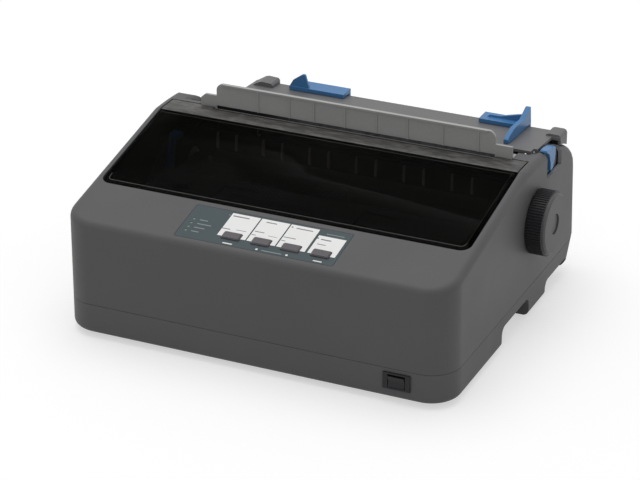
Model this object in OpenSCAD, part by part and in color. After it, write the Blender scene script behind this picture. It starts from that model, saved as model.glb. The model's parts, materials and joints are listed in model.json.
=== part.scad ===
// Desktop dot matrix printer with a hinged smoked cover, a tilting rear paper guide and a push tractor.
// X runs to the right, towards the platen knob. Y runs to the back. Z is up.
// Pieces are drawn around the body's middle plane with the front face at y = 0. in_frame() then moves
// them so that the origin is at the bottom, under the middle of the whole printer.

/* [Body] */
// Width of the case at its foot
body_w = 332; // [326:1:340]
// Depth of the case
body_d = 278; // [276:1:284]
// Height at which the sloping top would meet the front face
front_h = 101; // [99:0.5:103]
// Slope of the top, in degrees
top_slope = 11.5; // [11:0.1:12]
// Wall thickness of the case
wall = 3; // [2.4:0.1:3.4]
// Corner radius at the front, seen from above
front_corner_r = 25; // [18:1:28]
// Corner radius at the back, seen from above
rear_corner_r = 9; // [8:0.5:12]
// Radius of the rounded top edges
edge_r = 6.5; // [5:0.5:7.5]
// Radius of the rounded bottom edges
bottom_edge_r = 5; // [4.5:0.5:6]
// How much each side leans in towards the top
draft = 0.8; // [0:0.1:1.5]
// Height of the joint between the lower and the upper case
parting_z = 30; // [27:0.5:32]
// Height of the rubber feet
foot_h = 4; // [3:0.5:5]
// Radius of the rubber feet
foot_r = 8; // [6:0.5:10]
// Distance from the case's back to where the top turns into the rear crown
crown_rear = 116; // [114:0.5:118]
// Height that the rear crown drops before it becomes the rear wall
crown_drop = 40; // [36:1:42]

/* [Side cut-outs] */
// Height of the front cut-out in each side
arch_h = 17; // [14:0.5:19]
// Length of the front cut-out
arch_len = 60; // [50:1:62]
// Distance from the front face to the front cut-out
arch_y = 110; // [100:1:112]
// Depth of the cut-outs, measured in from the side
arch_in = 18; // [14:1:20]

/* [Cover] */
// Distance from the front face to the cover's front edge
cover_y = 54; // [52:0.5:56]
// Width of the smoked cover
cover_w = 314; // [310:1:315]
// Thickness of the smoked cover
cover_t = 2.6; // [2:0.1:3]
// Gap between the cover and the case
cover_gap = 1; // [0.8:0.1:1.2]
// Corner radius of the cover
cover_corner_r = 8; // [5:0.5:10]
// Distance from the case's back to the cover's rear edge
cover_rear = 97; // [96:0.5:98]
// Radius of the cover's hinge pins
hinge_pin_r = 2; // [1.5:0.1:2.4]
// Distance from the case's back to the cover's hinge
hinge_rear = 86; // [85:0.5:86.5]

/* [Tear-off bar] */
// Width of the tall ribbed part
bar_w = 246; // [240:1:250]
// Height of the bar's top edge over the table
bar_top_z = 154; // [150:0.5:156]
// Thickness of the ribbed part
bar_t = 2.4; // [2:0.1:3]
// Width of the low base that carries the bar
bar_base_w = 275; // [270:1:276]
// Height of the low base over the table
bar_base_z = 143; // [141:0.5:144]
// How far the bar's ribs stand out
bar_rib_t = 0.7; // [0.5:0.1:1]

/* [Paper guide] */
// Distance from the case's back to the guide's front edge
guide_front = 78.5; // [77.5:0.5:79]
// Distance from the case's back to the guide's rear edge
guide_rear = 22; // [20:0.5:24]
// Height of the guide's surface at the front
guide_front_z = 134.3; // [133.8:0.1:134.8]
// Height of the guide's surface at the rear
guide_rear_z = 130.3; // [129.5:0.1:131]
// Thickness of the guide's plate
guide_t = 2.5; // [2:0.1:3]
// Radius of the rod that the guide tilts on
guide_rod_r = 1.5; // [1.2:0.1:1.8]
// Height of the edge guides over the guide's surface
edge_guide_h = 15; // [12:0.5:16]

/* [Platen] */
// Radius of the rubber platen
platen_r = 14; // [13:0.25:14.25]
// Length of the rubber platen
platen_len = 243; // [236:1:244]
// Distance from the case's back to the platen's axis
platen_rear = 97; // [96:0.5:98]
// Height of the platen's axis
platen_z = 84; // [83:0.5:85]
// Radius of the platen's steel core
core_r = 11; // [9:0.5:11.5]
// Radius of the platen's shaft
shaft_r = 4; // [3.5:0.25:4.5]
// Radius of the knob
knob_r = 26.5; // [24:0.5:27]
// How far the knob stands out of the body
knob_out = 16; // [14:0.5:18]
// Number of grooves round the knob
knob_grooves = 72; // [48:6:84]

/* [Carriage] */
// Radius of the carriage's steel rod
rail_r = 4; // [3.5:0.25:4.25]
// Half of the carriage's travel
carriage_travel = 101; // [90:1:101]
// Width of the carriage
carriage_w = 44; // [40:1:44]
// Width of the print head
head_w = 28; // [24:1:30]
// Pitch radius of the belt pulleys
pulley_r = 8; // [7:0.25:8.5]
// Thickness of the belt
belt_t = 1.2; // [1:0.1:1.4]
// Height of the belt
belt_h = 6; // [5:0.5:6]

/* [Gears] */
// Tooth module of the paper feed gears
gear_m = 1; // [0.9:0.05:1]
// Width of the gears
gear_w = 5; // [4:0.5:5.5]
// Teeth of the platen gear
platen_teeth = 40; // [38:2:40]
// Teeth of the motor pinion
pinion_teeth = 12; // [12:1:14]
// Teeth of the idler gear
idler_teeth = 20; // [20:1:21]
// Teeth of the tractor gear
tractor_teeth = 24; // [24:1:25]

/* [Control panel] */
// Width of the control panel's overlay
panel_w = 134; // [130:1:136]
// Length of the overlay along the slope
panel_l = 42; // [40:0.5:43]
// Distance from the front face to the overlay's front edge
panel_y = 7; // [6.5:0.5:8]
// Distance from the middle plane to the overlay's middle
panel_x = -0.5; // [-2:0.5:2]
// Thickness of the overlay
panel_t = 0.8; // [0.6:0.1:1]
// Width of a button
button_w = 15; // [13:0.5:16]
// Length of a button along the slope
button_l = 8.5; // [7:0.5:9]
// Spacing of the buttons
button_pitch = 25.1; // [24:0.1:25.5]
// How far a button goes in when pressed
button_travel = 0.8; // [0.5:0.1:0.9]

/* [Power switch] */
// Width of the switch's bezel
switch_w = 22.5; // [20:0.5:24]
// Height of the switch's bezel
switch_h = 14; // [13:0.5:15]
// Distance from the middle plane to the switch
switch_x = 123; // [118:0.5:124]

/* [Hidden] */

// Clearances. Shafts turn in bores with run_fit, still pieces sit in their seats with seat_fit,
// and pieces that pass each other keep pass_gap.
run_fit = 0.05;
seat_fit = 0.02;
pass_gap = 0.3;
eps = 0.01;
far = 400;

// Colours
case_grey = "#56565a";
smoke = "#17171a";
bar_grey = "#7c7d80";
guide_blue = "#2f6ea8";
steel = "#b9bcc0";
zinc = "#a5a8aa";
rubber_black = "#1c1c1e";
nylon = "#e6e3da";
black_plastic = "#242427";
panel_teal = "#46575c";
board_green = "#2f5d3f";

// Case levels
case_bottom = foot_h;
half_w = body_w / 2;
crown_y = body_d - crown_rear;
cover_rear_y = body_d - cover_rear;
hinge_y = body_d - hinge_rear;
guide_front_y = body_d - guide_front;
guide_rear_y = body_d - guide_rear;
platen_y = body_d - platen_rear;
top_half_w = half_w - draft;
side_in = half_w - draft - wall;
crown_a = crown_rear - 3;
crown_n = 2.3;
crown_base = front_h + tan(top_slope) * crown_y - crown_drop;
rear_foot_z = 34;
rear_kick_y = body_d - 16;
seam = 0.3;
function top_z(y) = front_h + tan(top_slope) * y;
function crown_pt(t) = [crown_y + crown_a * t,
    crown_base + crown_drop * pow(max(0, 1 - pow(t, crown_n)), 1 / crown_n)];
function crown_z(y) = crown_pt((y - crown_y) / crown_a)[1];
function along(t) = crown_pt(min(1, t + 0.002)) - crown_pt(max(0, t - 0.002));
function crown_out(t) = [-along(t)[1], along(t)[0]] / norm(along(t));
function crown_center(t) = t == 0 ? [crown_y, top_z(crown_y) - edge_r / cos(top_slope)]
    : crown_pt(t) - crown_out(t) * edge_r;
crown_steps = [0, 0.14, 0.28, 0.42, 0.54, 0.65, 0.75, 0.83, 0.9, 0.95, 0.985, 1];

// Frame levels: the two side plates carry the mechanism, set in from the case's sides
plate_t = 2;
gear_bay = 22.2;
knob_bay = 10.2;
plate_l = -side_in + gear_bay;
plate_r = side_in - knob_bay;
path_x = (plate_l + plate_r) / 2;
tray_z = 24;
tray_t = 1.5;
floor_z = case_bottom + wall;
tray_y1 = body_d - 28;

// Cover and bar
hinge_z = crown_z(hinge_y) - hinge_pin_r - 1.2;
ear_w = 4.5;
bar_y = cover_rear_y + 1.2;
bar_ribs = [-0.345, -0.23, -0.14, -0.028, 0.085, 0.195, 0.32, 0.443];
base_depth = 5.5;
ear_l_x = path_x - bar_base_w / 2 - pass_gap;
ear_r_x = path_x + bar_base_w / 2 + pass_gap;
cover_half = cover_w / 2;
opening_half = cover_half + cover_gap;
opening_rear_y = body_d - 30;

// Paper guide
guide_x0 = path_x - 121;
guide_x1 = top_half_w - 1.7;
guide_slope = atan((guide_front_z - guide_rear_z) / (guide_rear_y - guide_front_y));
guide_hinge_y = guide_front_y + 3;
guide_hinge_z = guide_front_z - 6.5;
guide_ear = 4;
bracket_t = 4;
lever_gap_y = guide_front_y + 39.5;
left_guide_x = path_x - 70;
right_guide_x = path_x + 123;
function guide_z(y) = guide_front_z - (y - guide_front_y) * tan(guide_slope);

// Platen, ribbon and carriage
platen_x0 = path_x - platen_len / 2;
nose_y = platen_y - platen_r - 1.5;
ribbon_y = platen_y - platen_r - 0.6;
ribbon_t = 0.3;
ribbon_h = 13;
rail_y = platen_y - 53;
rail_z = platen_z - 18;
head_z0 = rail_z + rail_r + 1;
head_h = 28;
head_y0 = rail_y - 8;
block_y0 = rail_y - 16;
block_y1 = rail_y + 18;
block_z0 = rail_z - 10;
front_rail_y = rail_y - 46;
tray_y0 = front_rail_y - 4;
front_rail_z = rail_z - 8;
arm_l = 28;
belt_y = rail_y - 24;
belt_z = tray_z + tray_t + 19.5;
belt_half = carriage_travel + carriage_w / 2 + 1;
motor_top = belt_z - 3;
cartridge_x0 = plate_l + 10;
cartridge_x1 = plate_r - 10;
cartridge_y0 = panel_y + panel_l + 13;
cartridge_y1 = rail_y - 16;
cartridge_l = cartridge_y1 - cartridge_y0;
cartridge_seat_y = [cartridge_y0 + 0.16 * cartridge_l, cartridge_y1 - 0.4 * cartridge_l];
ribbon_knob_y = cartridge_y0 + 0.52 * cartridge_l;
cartridge_z = platen_z + 2;
cartridge_h = 18;
cartridge_arm = 11;

// Feed train: the idler sits where its pitch circle touches both the platen gear's and the tractor gear's
gear_x = plate_l - plate_t - 1 - gear_w;
tractor_y = platen_y + 50;
tractor_z = platen_z + 12;
square = 6;
pitch_p = platen_teeth * gear_m / 2;
pitch_i = idler_teeth * gear_m / 2;
pitch_t = tractor_teeth * gear_m / 2;
pitch_n = pinion_teeth * gear_m / 2;
pinion_dir = -60;
pinion_pos = [platen_y, platen_z] + (pitch_p + pitch_n) * [cos(pinion_dir), sin(pinion_dir)];
span = [tractor_y - platen_y, tractor_z - platen_z];
reach_a = pitch_p + pitch_i;
reach_b = pitch_i + pitch_t;
idler_dir = atan2(span[1], span[0])
    + acos((reach_a * reach_a + span * span - reach_b * reach_b) / (2 * reach_a * norm(span)));
idler_pos = [platen_y, platen_z] + reach_a * [cos(idler_dir), sin(idler_dir)];
to_tractor = [tractor_y, tractor_z] - idler_pos;
tractor_dir = atan2(to_tractor[1], to_tractor[0]);
function mesh_phase(na, phase, dir, nb) = dir + 180 - (phase - dir) * na / nb - 180 / nb;
phase_n = mesh_phase(platen_teeth, 0, pinion_dir, pinion_teeth);
phase_i = mesh_phase(platen_teeth, 0, idler_dir, idler_teeth);
phase_t = mesh_phase(idler_teeth, phase_i, tractor_dir, tractor_teeth);

// Tractors
sprocket_r = platen_r * tractor_teeth / platen_teeth;
tractor_w = 14;
tractor_x = 114.3;
support_y = tractor_y + 15;
support_z = tractor_z + 2;
support_r = 3;
pinch_r = 6;
pinch_shaft_r = 2;
pinch_dir = -115;
pinch_dist = platen_r + pinch_r + 0.5;
pinch_pos = [platen_y + pinch_dist * cos(pinch_dir), platen_z + pinch_dist * sin(pinch_dir)];

// Control panel, in the sloping plane of the top
panel_sink = 0.6;
cell_y = [17, 46.7];
button_y = 18.6;
board_drop = 9;
stem_r = 2;

// Moves what it draws from the body's own place to the part's frame, midway between the rocker and the back
module in_frame() translate([-knob_out / 2, -(body_d - front_out) / 2, 0]) children();

// A box between two corners
module block(a, b) translate(a) cube(b - a);

// A cylinder along X from x0 to x1
module rod_x(r, x0, x1, y, z) translate([x0, y, z]) rotate([0, 90, 0])
    cylinder(r = r, h = x1 - x0, $fn = 64);

// A side profile, drawn in Y and Z, that runs from x0 to x1
module profile_x(x0, x1) translate([x0, 0, 0]) rotate([90, 0, 90]) linear_extrude(x1 - x0) children();

// What lies on the sloping top, drawn as seen square to it, with z = 0 at its surface
module on_top() translate([0, 0, front_h]) rotate([top_slope, 0, 0]) children();

// A plate with round corners, standing on z = 0
module round_plate(w, l, h, r) linear_extrude(h) round_rect(w, l, r);

module round_rect(w, l, r) {
    square([w - 2 * r, l], center = true);
    square([w, l - 2 * r], center = true);
    for (sx = [-1, 1], sy = [-1, 1])
        translate([sx * (w / 2 - r), sy * (l / 2 - r)]) circle(r, $fn = 32);
}

// A ring whose outside has the corner radius r and the edge radius e, drawn in by inset
module corner_ring(r, e, inset) rotate_extrude($fn = 48) intersection() {
    translate([r - e, 0]) circle(e - inset, $fn = 24);
    translate([0, -2 * e]) square([2 * r, 4 * e]);
}

// The outer form of the case, drawn in by inset on all sides
module skin(inset) hull() {
    for (s = [-1, 1]) {
        translate([s * (half_w - front_corner_r), front_corner_r, case_bottom + bottom_edge_r])
            corner_ring(front_corner_r, bottom_edge_r, inset);
        translate([s * (half_w - rear_corner_r), rear_kick_y - rear_corner_r,
            case_bottom + bottom_edge_r])
            corner_ring(rear_corner_r, bottom_edge_r, inset);
        translate([s * (half_w - rear_corner_r), body_d - rear_corner_r, rear_foot_z])
            corner_ring(rear_corner_r, edge_r, inset);
        translate([s * (top_half_w - front_corner_r), front_ring_y, top_z(front_ring_y)
            - edge_r / cos(top_slope)])
            rotate([top_slope, 0, 0]) corner_ring(front_corner_r, edge_r, inset);
        for (t = crown_steps)
            translate([s * (top_half_w - edge_r), crown_center(t)[0], crown_center(t)[1]])
                sphere(edge_r - inset, $fn = 24);
    }
}
front_ring_y = (front_corner_r - edge_r) * cos(top_slope) + edge_r;

// The left rear of the case steps down beside the paper guide, and beside the bar's left hinge pin.
// With grow the cut is larger on all sides, so that the wall round it keeps its thickness.
shoulder_y = guide_front_y + 5;
shoulder_x = guide_x0 - bracket_t - 3.8;
notch_x = ear_l_x - 9.2;
notch_y = hinge_y - 5;
outer_step_x = gear_x - 4;
shoulder_round = [[-8.5, 0.5], [-7.5, -0.1], [-4.5, -0.8], [-2, -2.2], [-0.5, -4.2], [0, -7]];
function shoulder_edge() = [for (p = shoulder_round) [shoulder_y + p[0], crown_z(shoulder_y + p[0]) + p[1]]];
function step_outline(floor_line) = concat([[shoulder_y - 8.5, far]], shoulder_edge(), floor_line,
    [[body_d + 20, floor_line[len(floor_line) - 1][1]], [body_d + 20, far]]);
outer_floor = [[shoulder_y, 119], [shoulder_y + 11, 112], [shoulder_y + 26, 108], [body_d - 28, 99],
    [body_d, 87]];
inner_floor = [[shoulder_y, 121], [shoulder_y + 16, 115.5], [tractor_y + 9, 113.5], [body_d - 27, 109.5],
    [body_d - 15, 101], [body_d, 88]];
module shoulder_step(grow) {
    profile_x(-far, outer_step_x + grow) translate([-grow, -grow]) polygon(step_outline(outer_floor));
    profile_x(outer_step_x - 1, shoulder_x + grow) translate([-grow, -grow])
        polygon(step_outline(inner_floor));
    translate([0, shoulder_y + 6, 0]) rotate([90, 0, 0]) linear_extrude(shoulder_y + 6 - notch_y + grow)
        polygon([[shoulder_x + grow, 121 - grow], [notch_x - grow, 121 - grow], [notch_x - grow, 126],
        [notch_x - grow - 1.5, 129], [notch_x - grow - 4, 131.2], [notch_x - grow - 8, 133],
        [notch_x - grow - 8, far], [shoulder_x + grow, far]]);
}
module form(inset) difference() {
    skin(inset);
    shoulder_step(inset);
}

// The outline of one side cut-out with round upper corners
module arch_outline(y0, y1, h) {
    r = 7;
    translate([y0, case_bottom - 10]) square([y1 - y0, h + 10 - r]);
    translate([y0 + r, case_bottom - 10]) square([y1 - y0 - 2 * r, h + 10]);
    for (y = [y0 + r, y1 - r]) translate([y, case_bottom + h - r]) circle(r, $fn = 48);
}

// Front and rear cut-out: start and end along Y, and height
arches = [[arch_y, arch_y + arch_len, arch_h], [body_d - 70, body_d - 17, arch_h - 4]];
box_t = 2;
lip_t = 1.7;
module side_cuts() for (s = [-1, 1], a = arches) {
    x = s > 0 ? half_w - arch_in : -half_w - 10;
    profile_x(x, x + arch_in + 10) arch_outline(a[0], a[1], a[2]);
}

screw_spots = [[half_w - 16, 17], [half_w - 24, body_d - 21]];
screw_r = 1.5;
post_r = 4.5;

// Lower case: floor, side walls, the posts for the frame and for the screws
module lower_case() color(case_grey) in_frame() difference() {
    union() {
        difference() {
            intersection() {
                skin(0);
                block([-far, -10, 0], [far, far, parting_z - seam]);
            }
            skin(wall);
        }
        // Lip that keeps the upper case in line
        difference() {
            union() {
                intersection() {
                    skin(wall - 1);
                    block([-far, -10, parting_z - 6], [far, far, parting_z - seam - 1]);
                }
                intersection() {
                    skin(wall + pass_gap);
                    block([-far, -10, parting_z - 4], [far, far, parting_z + 3]);
                }
            }
            skin(wall + lip_t);
            // Gaps in the lip, where the sockets and the inlet need the room
            block([-half_w + 30, opening_rear_y, 0], [half_w - 12, far, far]);
        }
        // Boxes behind the side cut-outs
        intersection() {
            skin(wall - 1);
            for (s = [-1, 1], a = arches)
                translate([s > 0 ? half_w - arch_in - box_t : -half_w, a[0] - box_t, floor_z - 1])
                    cube([arch_in + box_t, a[1] - a[0] + 2 * box_t, a[2] + box_t - 2]);
        }
        for (p = screw_spots, s = [-1, 1])
            translate([s * p[0], p[1], floor_z - 1])
                cylinder(r = post_r, h = parting_z - seam - floor_z + 1, $fn = 48);
        for (p = tray_posts)
            translate([p[0], p[1], floor_z - 1]) cylinder(r = 4, h = tray_z - floor_z + 1, $fn = 48);
        for (p = board_posts)
            translate([p[0], p[1], floor_z - 1]) cylinder(r = 3, h = board_z - floor_z + 1, $fn = 48);
    }
    side_cuts();
    for (p = screw_spots, s = [-1, 1]) translate([s * p[0], p[1], 0]) {
        cylinder(r = screw_r + 0.3, h = 60, $fn = 48);
        cylinder(r = 3.6, h = case_bottom + 5, $fn = 48);
    }
    switch_hole();
    rear_cuts();
}
tray_posts = [for (x = [plate_l + 12, plate_r - 12], y = [tray_y0 + 8, tray_y1 - 14]) [x, y]];
board_z = floor_z + 4;
board_x0 = plate_l + 24;
board_w = 150;
board_x1 = board_x0 + board_w;
board_y1 = body_d - 22;
board_l = 96;
board_y0 = board_y1 - board_l;
board_posts = [for (x = [board_x0 + 6, board_x1 - 6], y = [board_y0 + 6, board_y1 - 14]) [x, y]];

module switch_hole() translate([switch_x, 0, switch_z])
    block([-switch_w / 2 + 1.2, -5, -switch_h / 2 + 1.2],
    [switch_w / 2 - 1.2, 30, switch_h / 2 - 1.2]);
switch_z = case_bottom + 15.8;

// Upper case: front, sides, sloping top with its panel recess, rear crown, openings and hinge ears
module upper_case() color(case_grey) in_frame() difference() {
    union() {
        difference() {
            intersection() {
                form(0);
                block([-far, -10, parting_z], [far, far, far]);
            }
            form(wall);
            cover_opening();
        }
        intersection() {
            form(wall - 1);
            union() {
                for (p = screw_spots, s = [-1, 1])
                    translate([s * p[0], p[1], parting_z]) cylinder(r = post_r, h = 100, $fn = 48);
                hinge_ears();
            }
        }
        guide_brackets();
        panel_pads();
    }
    for (p = screw_spots, s = [-1, 1])
        translate([s * p[0], p[1], 0]) cylinder(r = screw_r + seat_fit, h = parting_z + 14, $fn = 48);
    on_top() {
        translate([panel_x, panel_y + panel_l / 2, -panel_sink])
            round_plate(panel_w + 0.6, panel_l + 0.6, 10, 2);
        for (i = [0:3]) translate([button_x(i), button_y, -10])
            round_plate(button_w + 1.2, button_l + 1.2, 20, 1.5);
        for (y = light_ys) translate([light_x, y, -10]) cylinder(r = 1.3, h = 20, $fn = 32);
    }
    rod_x(hinge_pin_r + run_fit, notch_x - ear_w - pass_gap, ear_r_x + ear_w + pass_gap, hinge_y, hinge_z);
    guide_pocket();
    rod_x(guide_rod_r + seat_fit, guide_x0 - bracket_t - 1, top_half_w - 6.5, guide_hinge_y,
        guide_hinge_z);
    // Hole for the platen's shaft and slot for the release lever
    rod_x(shaft_r + 2, side_in - 8, half_w + 10, platen_y, platen_z);
    block([lever_x - 0.6, lever_slot_y0, lever_slot_z], [half_w + 10, lever_gap_y, far]);
    // Slot in the rear wall for paper from behind
    block([path_x - 126, body_d - 20, crown_base - 6], [path_x + 126, body_d + 10, crown_base + 9]);
    rear_cuts();
}
function button_x(i) = -23 + i * button_pitch;
light_x = -61.5;
light_ys = [16, 21, 26, 31];
lever_x = top_half_w - 7;
lever_slot_y0 = guide_front_y + 6;
lever_slot_z = crown_z(lever_gap_y) - 16.5;

module cover_opening() intersection() {
    block([-far, cover_y - cover_gap, crown_base], [far, opening_rear_y, far]);
    union() {
        translate([0, 0, -1]) linear_extrude(far) {
            translate([0, (cover_y + cover_rear_y) / 2])
                round_rect(2 * opening_half, cover_rear_y - cover_y + 2 * cover_gap,
                    cover_corner_r + cover_gap);
            translate([-opening_half, crown_y])
                square([2 * opening_half, cover_rear_y + cover_gap - crown_y]);
            translate([ear_l_x, crown_y]) square([ear_r_x - ear_l_x, hinge_y + 4.5 - crown_y]);
            translate([guide_x0 - pass_gap, hinge_y + 4.5])
                square([guide_rod_x1 - bracket_t - guide_x0 + pass_gap, opening_rear_y - hinge_y - 4.5]);
        }
    }
}

// Blocks beside the bar's base that hold the cover's hinge pins; the left one is beyond the notch
module hinge_ears() {
    block([-half_w, hinge_y - 5, hinge_z - 5], [notch_x, hinge_y + 6, far]);
    block([ear_r_x, hinge_y - 5, hinge_z - 5], [half_w, hinge_y + 4.6, far]);
}

// Lugs that hold the paper guide's rod at both ends, and rests under the guide's rear corners
module guide_brackets() {
    r = 3.2;
    for (x = [guide_x0 - bracket_t, guide_rod_x1 - bracket_t])
        rod_x(r, x, x + bracket_t, guide_hinge_y, guide_hinge_z);
    for (x = [guide_x0 + 2, guide_x1 - 14])
        block([x, opening_rear_y + 0.5, crown_z(opening_rear_y) - 4], [x + 10, opening_rear_y + 3.5,
            guide_z(opening_rear_y + 3.5) - guide_t - pass_gap]);
}
guide_rod_x1 = lever_x - 1;

// Room in the case's crown for the paper guide
module guide_pocket() intersection() {
    profile_x(guide_x0 - 2 * pass_gap, lever_x - 0.6) polygon([
        [guide_front_y - 0.8, guide_front_z - guide_t - pass_gap],
        [guide_rear_y + 0.5, guide_rear_z - guide_t - 2 * pass_gap],
        [guide_rear_y + 0.5, far],
        [guide_front_y - 0.8, far]]);
    block([-far, guide_front_y - 1, crown_base], [far, far, far]);
}

// Studs under the top that carry the panel's board
module panel_pads() on_top() for (x = [-64, 64], y = [15, 40])
    translate([x, y, -board_drop]) cylinder(r = 2.5, h = board_drop - wall + 1, $fn = 32);

// Openings in the rear wall for the sockets and the mains inlet
socket_l = 26;
socket_h = 10.8;
// Middle and width of each socket
socket_list = [[board_x0 + 14, 30], [board_x0 + 62, 58], [board_x0 + 118, 12]];
inlet_x = plate_r - 34;
inlet_z = parting_z + 20;
module rear_cuts() {
    for (s = socket_list) socket_cut(s[0], s[1], socket_h);
    translate([inlet_x, body_d - 20, inlet_z]) block([-14.4, 0, -10.4], [14.4, 40, 10.4]);
}
module socket_cut(x, w, h) translate([x, body_d - 20, board_z + 1.6])
    block([-w / 2 - 0.4, 0, -0.2], [w / 2 + 0.4, 40, h + 0.4]);

module rubber_feet() color(rubber_black) in_frame()
    for (s = [-1, 1], y = [26, rear_kick_y - 26]) translate([s * (half_w - 34), y, 0]) {
        cylinder(r1 = foot_r - 1, r2 = foot_r, h = 1, $fn = 48);
        translate([0, 0, 1]) cylinder(r = foot_r, h = foot_h - 1, $fn = 48);
    }

module case_screws() color(steel) in_frame() for (p = screw_spots, s = [-1, 1])
    translate([s * p[0], p[1], case_bottom + 2.4]) difference() {
        union() {
            cylinder(r = 3, h = 2.6, $fn = 48);
            cylinder(r = screw_r, h = parting_z + 6 - case_bottom, $fn = 48);
        }
        for (a = [0, 90]) rotate([0, 0, a]) block([-2, -0.4, -1], [2, 0.4, 1.2]);
    }

// Smoked cover: sloping face, then a flatter strip that runs back to the bar
module printer_cover() color(smoke) in_frame() intersection() {
    union() {
        profile_x(-far, path_x - dip_half) polygon(cover_profile(0));
        profile_x(path_x - dip_half - eps, path_x + dip_half + eps) polygon(cover_profile(groove_dip));
        profile_x(path_x + dip_half, far) polygon(cover_profile(0));
    }
    linear_extrude(far) translate([0, (cover_y + cover_rear_y + 10) / 2])
        round_rect(cover_w, cover_rear_y + 10 - cover_y, cover_corner_r);
}
cover_steps = 6;
// The cover's rear edge is lower before the blade, by groove_dip over its last dip_l
groove_dip = 2.6;
dip_l = 6;
dip_half = bar_w / 2 + 1;
function cover_line(drop, dip) =
    concat([[cover_y, top_z(cover_y) - drop], [crown_y, top_z(crown_y) - drop]],
        [for (i = [1:cover_steps]) let (y = crown_y + (cover_rear_y - crown_y) * i / cover_steps)
            [y, crown_z(y) - max(0, 1 - (cover_rear_y - y) / dip_l) * dip - drop]]);
function backwards(list) = [for (i = [len(list) - 1:-1:0]) list[i]];
function cover_profile(dip) = concat(cover_line(0, dip), backwards(cover_line(cover_t, dip)));

// Tear-off bar: a low base behind the cover with a tall ribbed blade on it
module tear_off_bar() color(bar_grey) in_frame() difference() {
    union() {
        block([path_x - bar_base_w / 2, cover_rear_y, hinge_z - 1],
            [path_x + bar_base_w / 2, cover_rear_y + base_depth, hinge_z + 1.2]);
        translate([0, bar_y + bar_t, 0]) rotate([90, 0, 0]) linear_extrude(bar_t) base_outline();
        translate([path_x, bar_y + bar_t, hinge_z]) rotate([90, 0, 0]) linear_extrude(bar_t)
            bar_outline();
        for (share = bar_ribs) translate([path_x + share * bar_w, 0, 0])
            block([-0.6, bar_y - bar_rib_t, bar_groove_z + bar_groove_h], [0.6, bar_y, bar_top_z - 1.6]);
        block([path_x - bar_w / 2 + 6, bar_y - bar_rib_t, bar_top_z - 1.6],
            [path_x + bar_w / 2 - 6, bar_y, bar_top_z]);
        for (x = [path_x - bar_base_w / 2, path_x + bar_base_w / 2 - 6]) {
            block([x, cover_rear_y, hinge_z - 1], [x + 6, hinge_y, hinge_z + 3]);
            rod_x(3, x, x + 6, hinge_y, hinge_z);
        }
    }
    for (x = [path_x - bar_base_w / 2 - 1, path_x + bar_base_w / 2 - 6])
        rod_x(hinge_pin_r + seat_fit, x, x + 7, hinge_y, hinge_z);
    // Groove along the foot of the blade
    block([path_x - bar_w / 2, bar_y - 1, bar_groove_z],
        [path_x + bar_w / 2, bar_y + bar_t / 2, bar_groove_z + bar_groove_h]);
}
bar_groove_z = crown_z(cover_rear_y) - 2;
bar_groove_h = 2.9;
base_corner = [3.9, 3.5];
module base_outline() {
    x0 = path_x - bar_base_w / 2;
    x1 = path_x + bar_base_w / 2;
    polygon([[x0, hinge_z], [x1, hinge_z], [x1, bar_base_z], [x0 + base_corner[0], bar_base_z],
        [x0, bar_base_z - base_corner[1]]]);
}
module bar_outline() {
    h = bar_top_z - hinge_z;
    r = 6;
    translate([-bar_w / 2, 0]) square([bar_w, h - r]);
    translate([-bar_w / 2 + r, 0]) square([bar_w - 2 * r, h]);
    for (s = [-1, 1]) translate([s * (bar_w / 2 - r), h - r]) circle(r, $fn = 48);
}

module cover_hinge_pins() color(steel) in_frame() {
    rod_x(hinge_pin_r, notch_x - ear_w, path_x - bar_base_w / 2 + 6, hinge_y, hinge_z);
    rod_x(hinge_pin_r, path_x + bar_base_w / 2 - 6, ear_r_x + ear_w, hinge_y, hinge_z);
}

// Paper guide: a plate over the crown with raised ends, tilting on a rod at its front edge
module paper_guide() color(case_grey) in_frame() difference() {
    union() {
        profile_x(guide_x0, guide_rod_x1 - bracket_t - pass_gap) polygon(guide_section);
        intersection() {
            profile_x(lever_x - 20, guide_x1) polygon(guide_section);
            union() {
                block([-far, lever_gap_y + 1, 0], [far, far, far]);
                block([-far, guide_hinge_y + 4, 0], [lever_x - guide_lever_gap, far, far]);
            }
        }
        for (x = guide_ear_xs) {
            rod_x(3, x, x + guide_ear, guide_hinge_y, guide_hinge_z);
            block([x, guide_hinge_y - 2.5, guide_hinge_z],
                [x + guide_ear, guide_hinge_y + 4, guide_front_z - guide_t + 0.2]);
        }
        // Raised ends: a ramp at the left, and at the right a block that reaches down to the case
        left_lug();
        right_lug();
        // Ribs on the guide's surface
        for (i = [0:10]) block([path_x - 110 + i * 22, guide_front_y + 3, guide_z(guide_front_y + 3) - 1],
            [path_x - 108.8 + i * 22, guide_front_y + 6, guide_z(guide_front_y + 3) + 0.3]);
    }
    for (x = guide_ear_xs) rod_x(guide_rod_r + run_fit, x - 1, x + guide_ear + 1, guide_hinge_y,
        guide_hinge_z);
}
guide_ear_xs = [guide_x0 + pass_gap, guide_rod_x1 - bracket_t - pass_gap - guide_ear];
guide_section = [[guide_front_y, guide_front_z - guide_t], [guide_rear_y, guide_rear_z - guide_t],
    [guide_rear_y, guide_rear_z - 1], [guide_rear_y - 1, guide_rear_z], [guide_front_y, guide_front_z]];
lug_l = 15;
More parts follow.
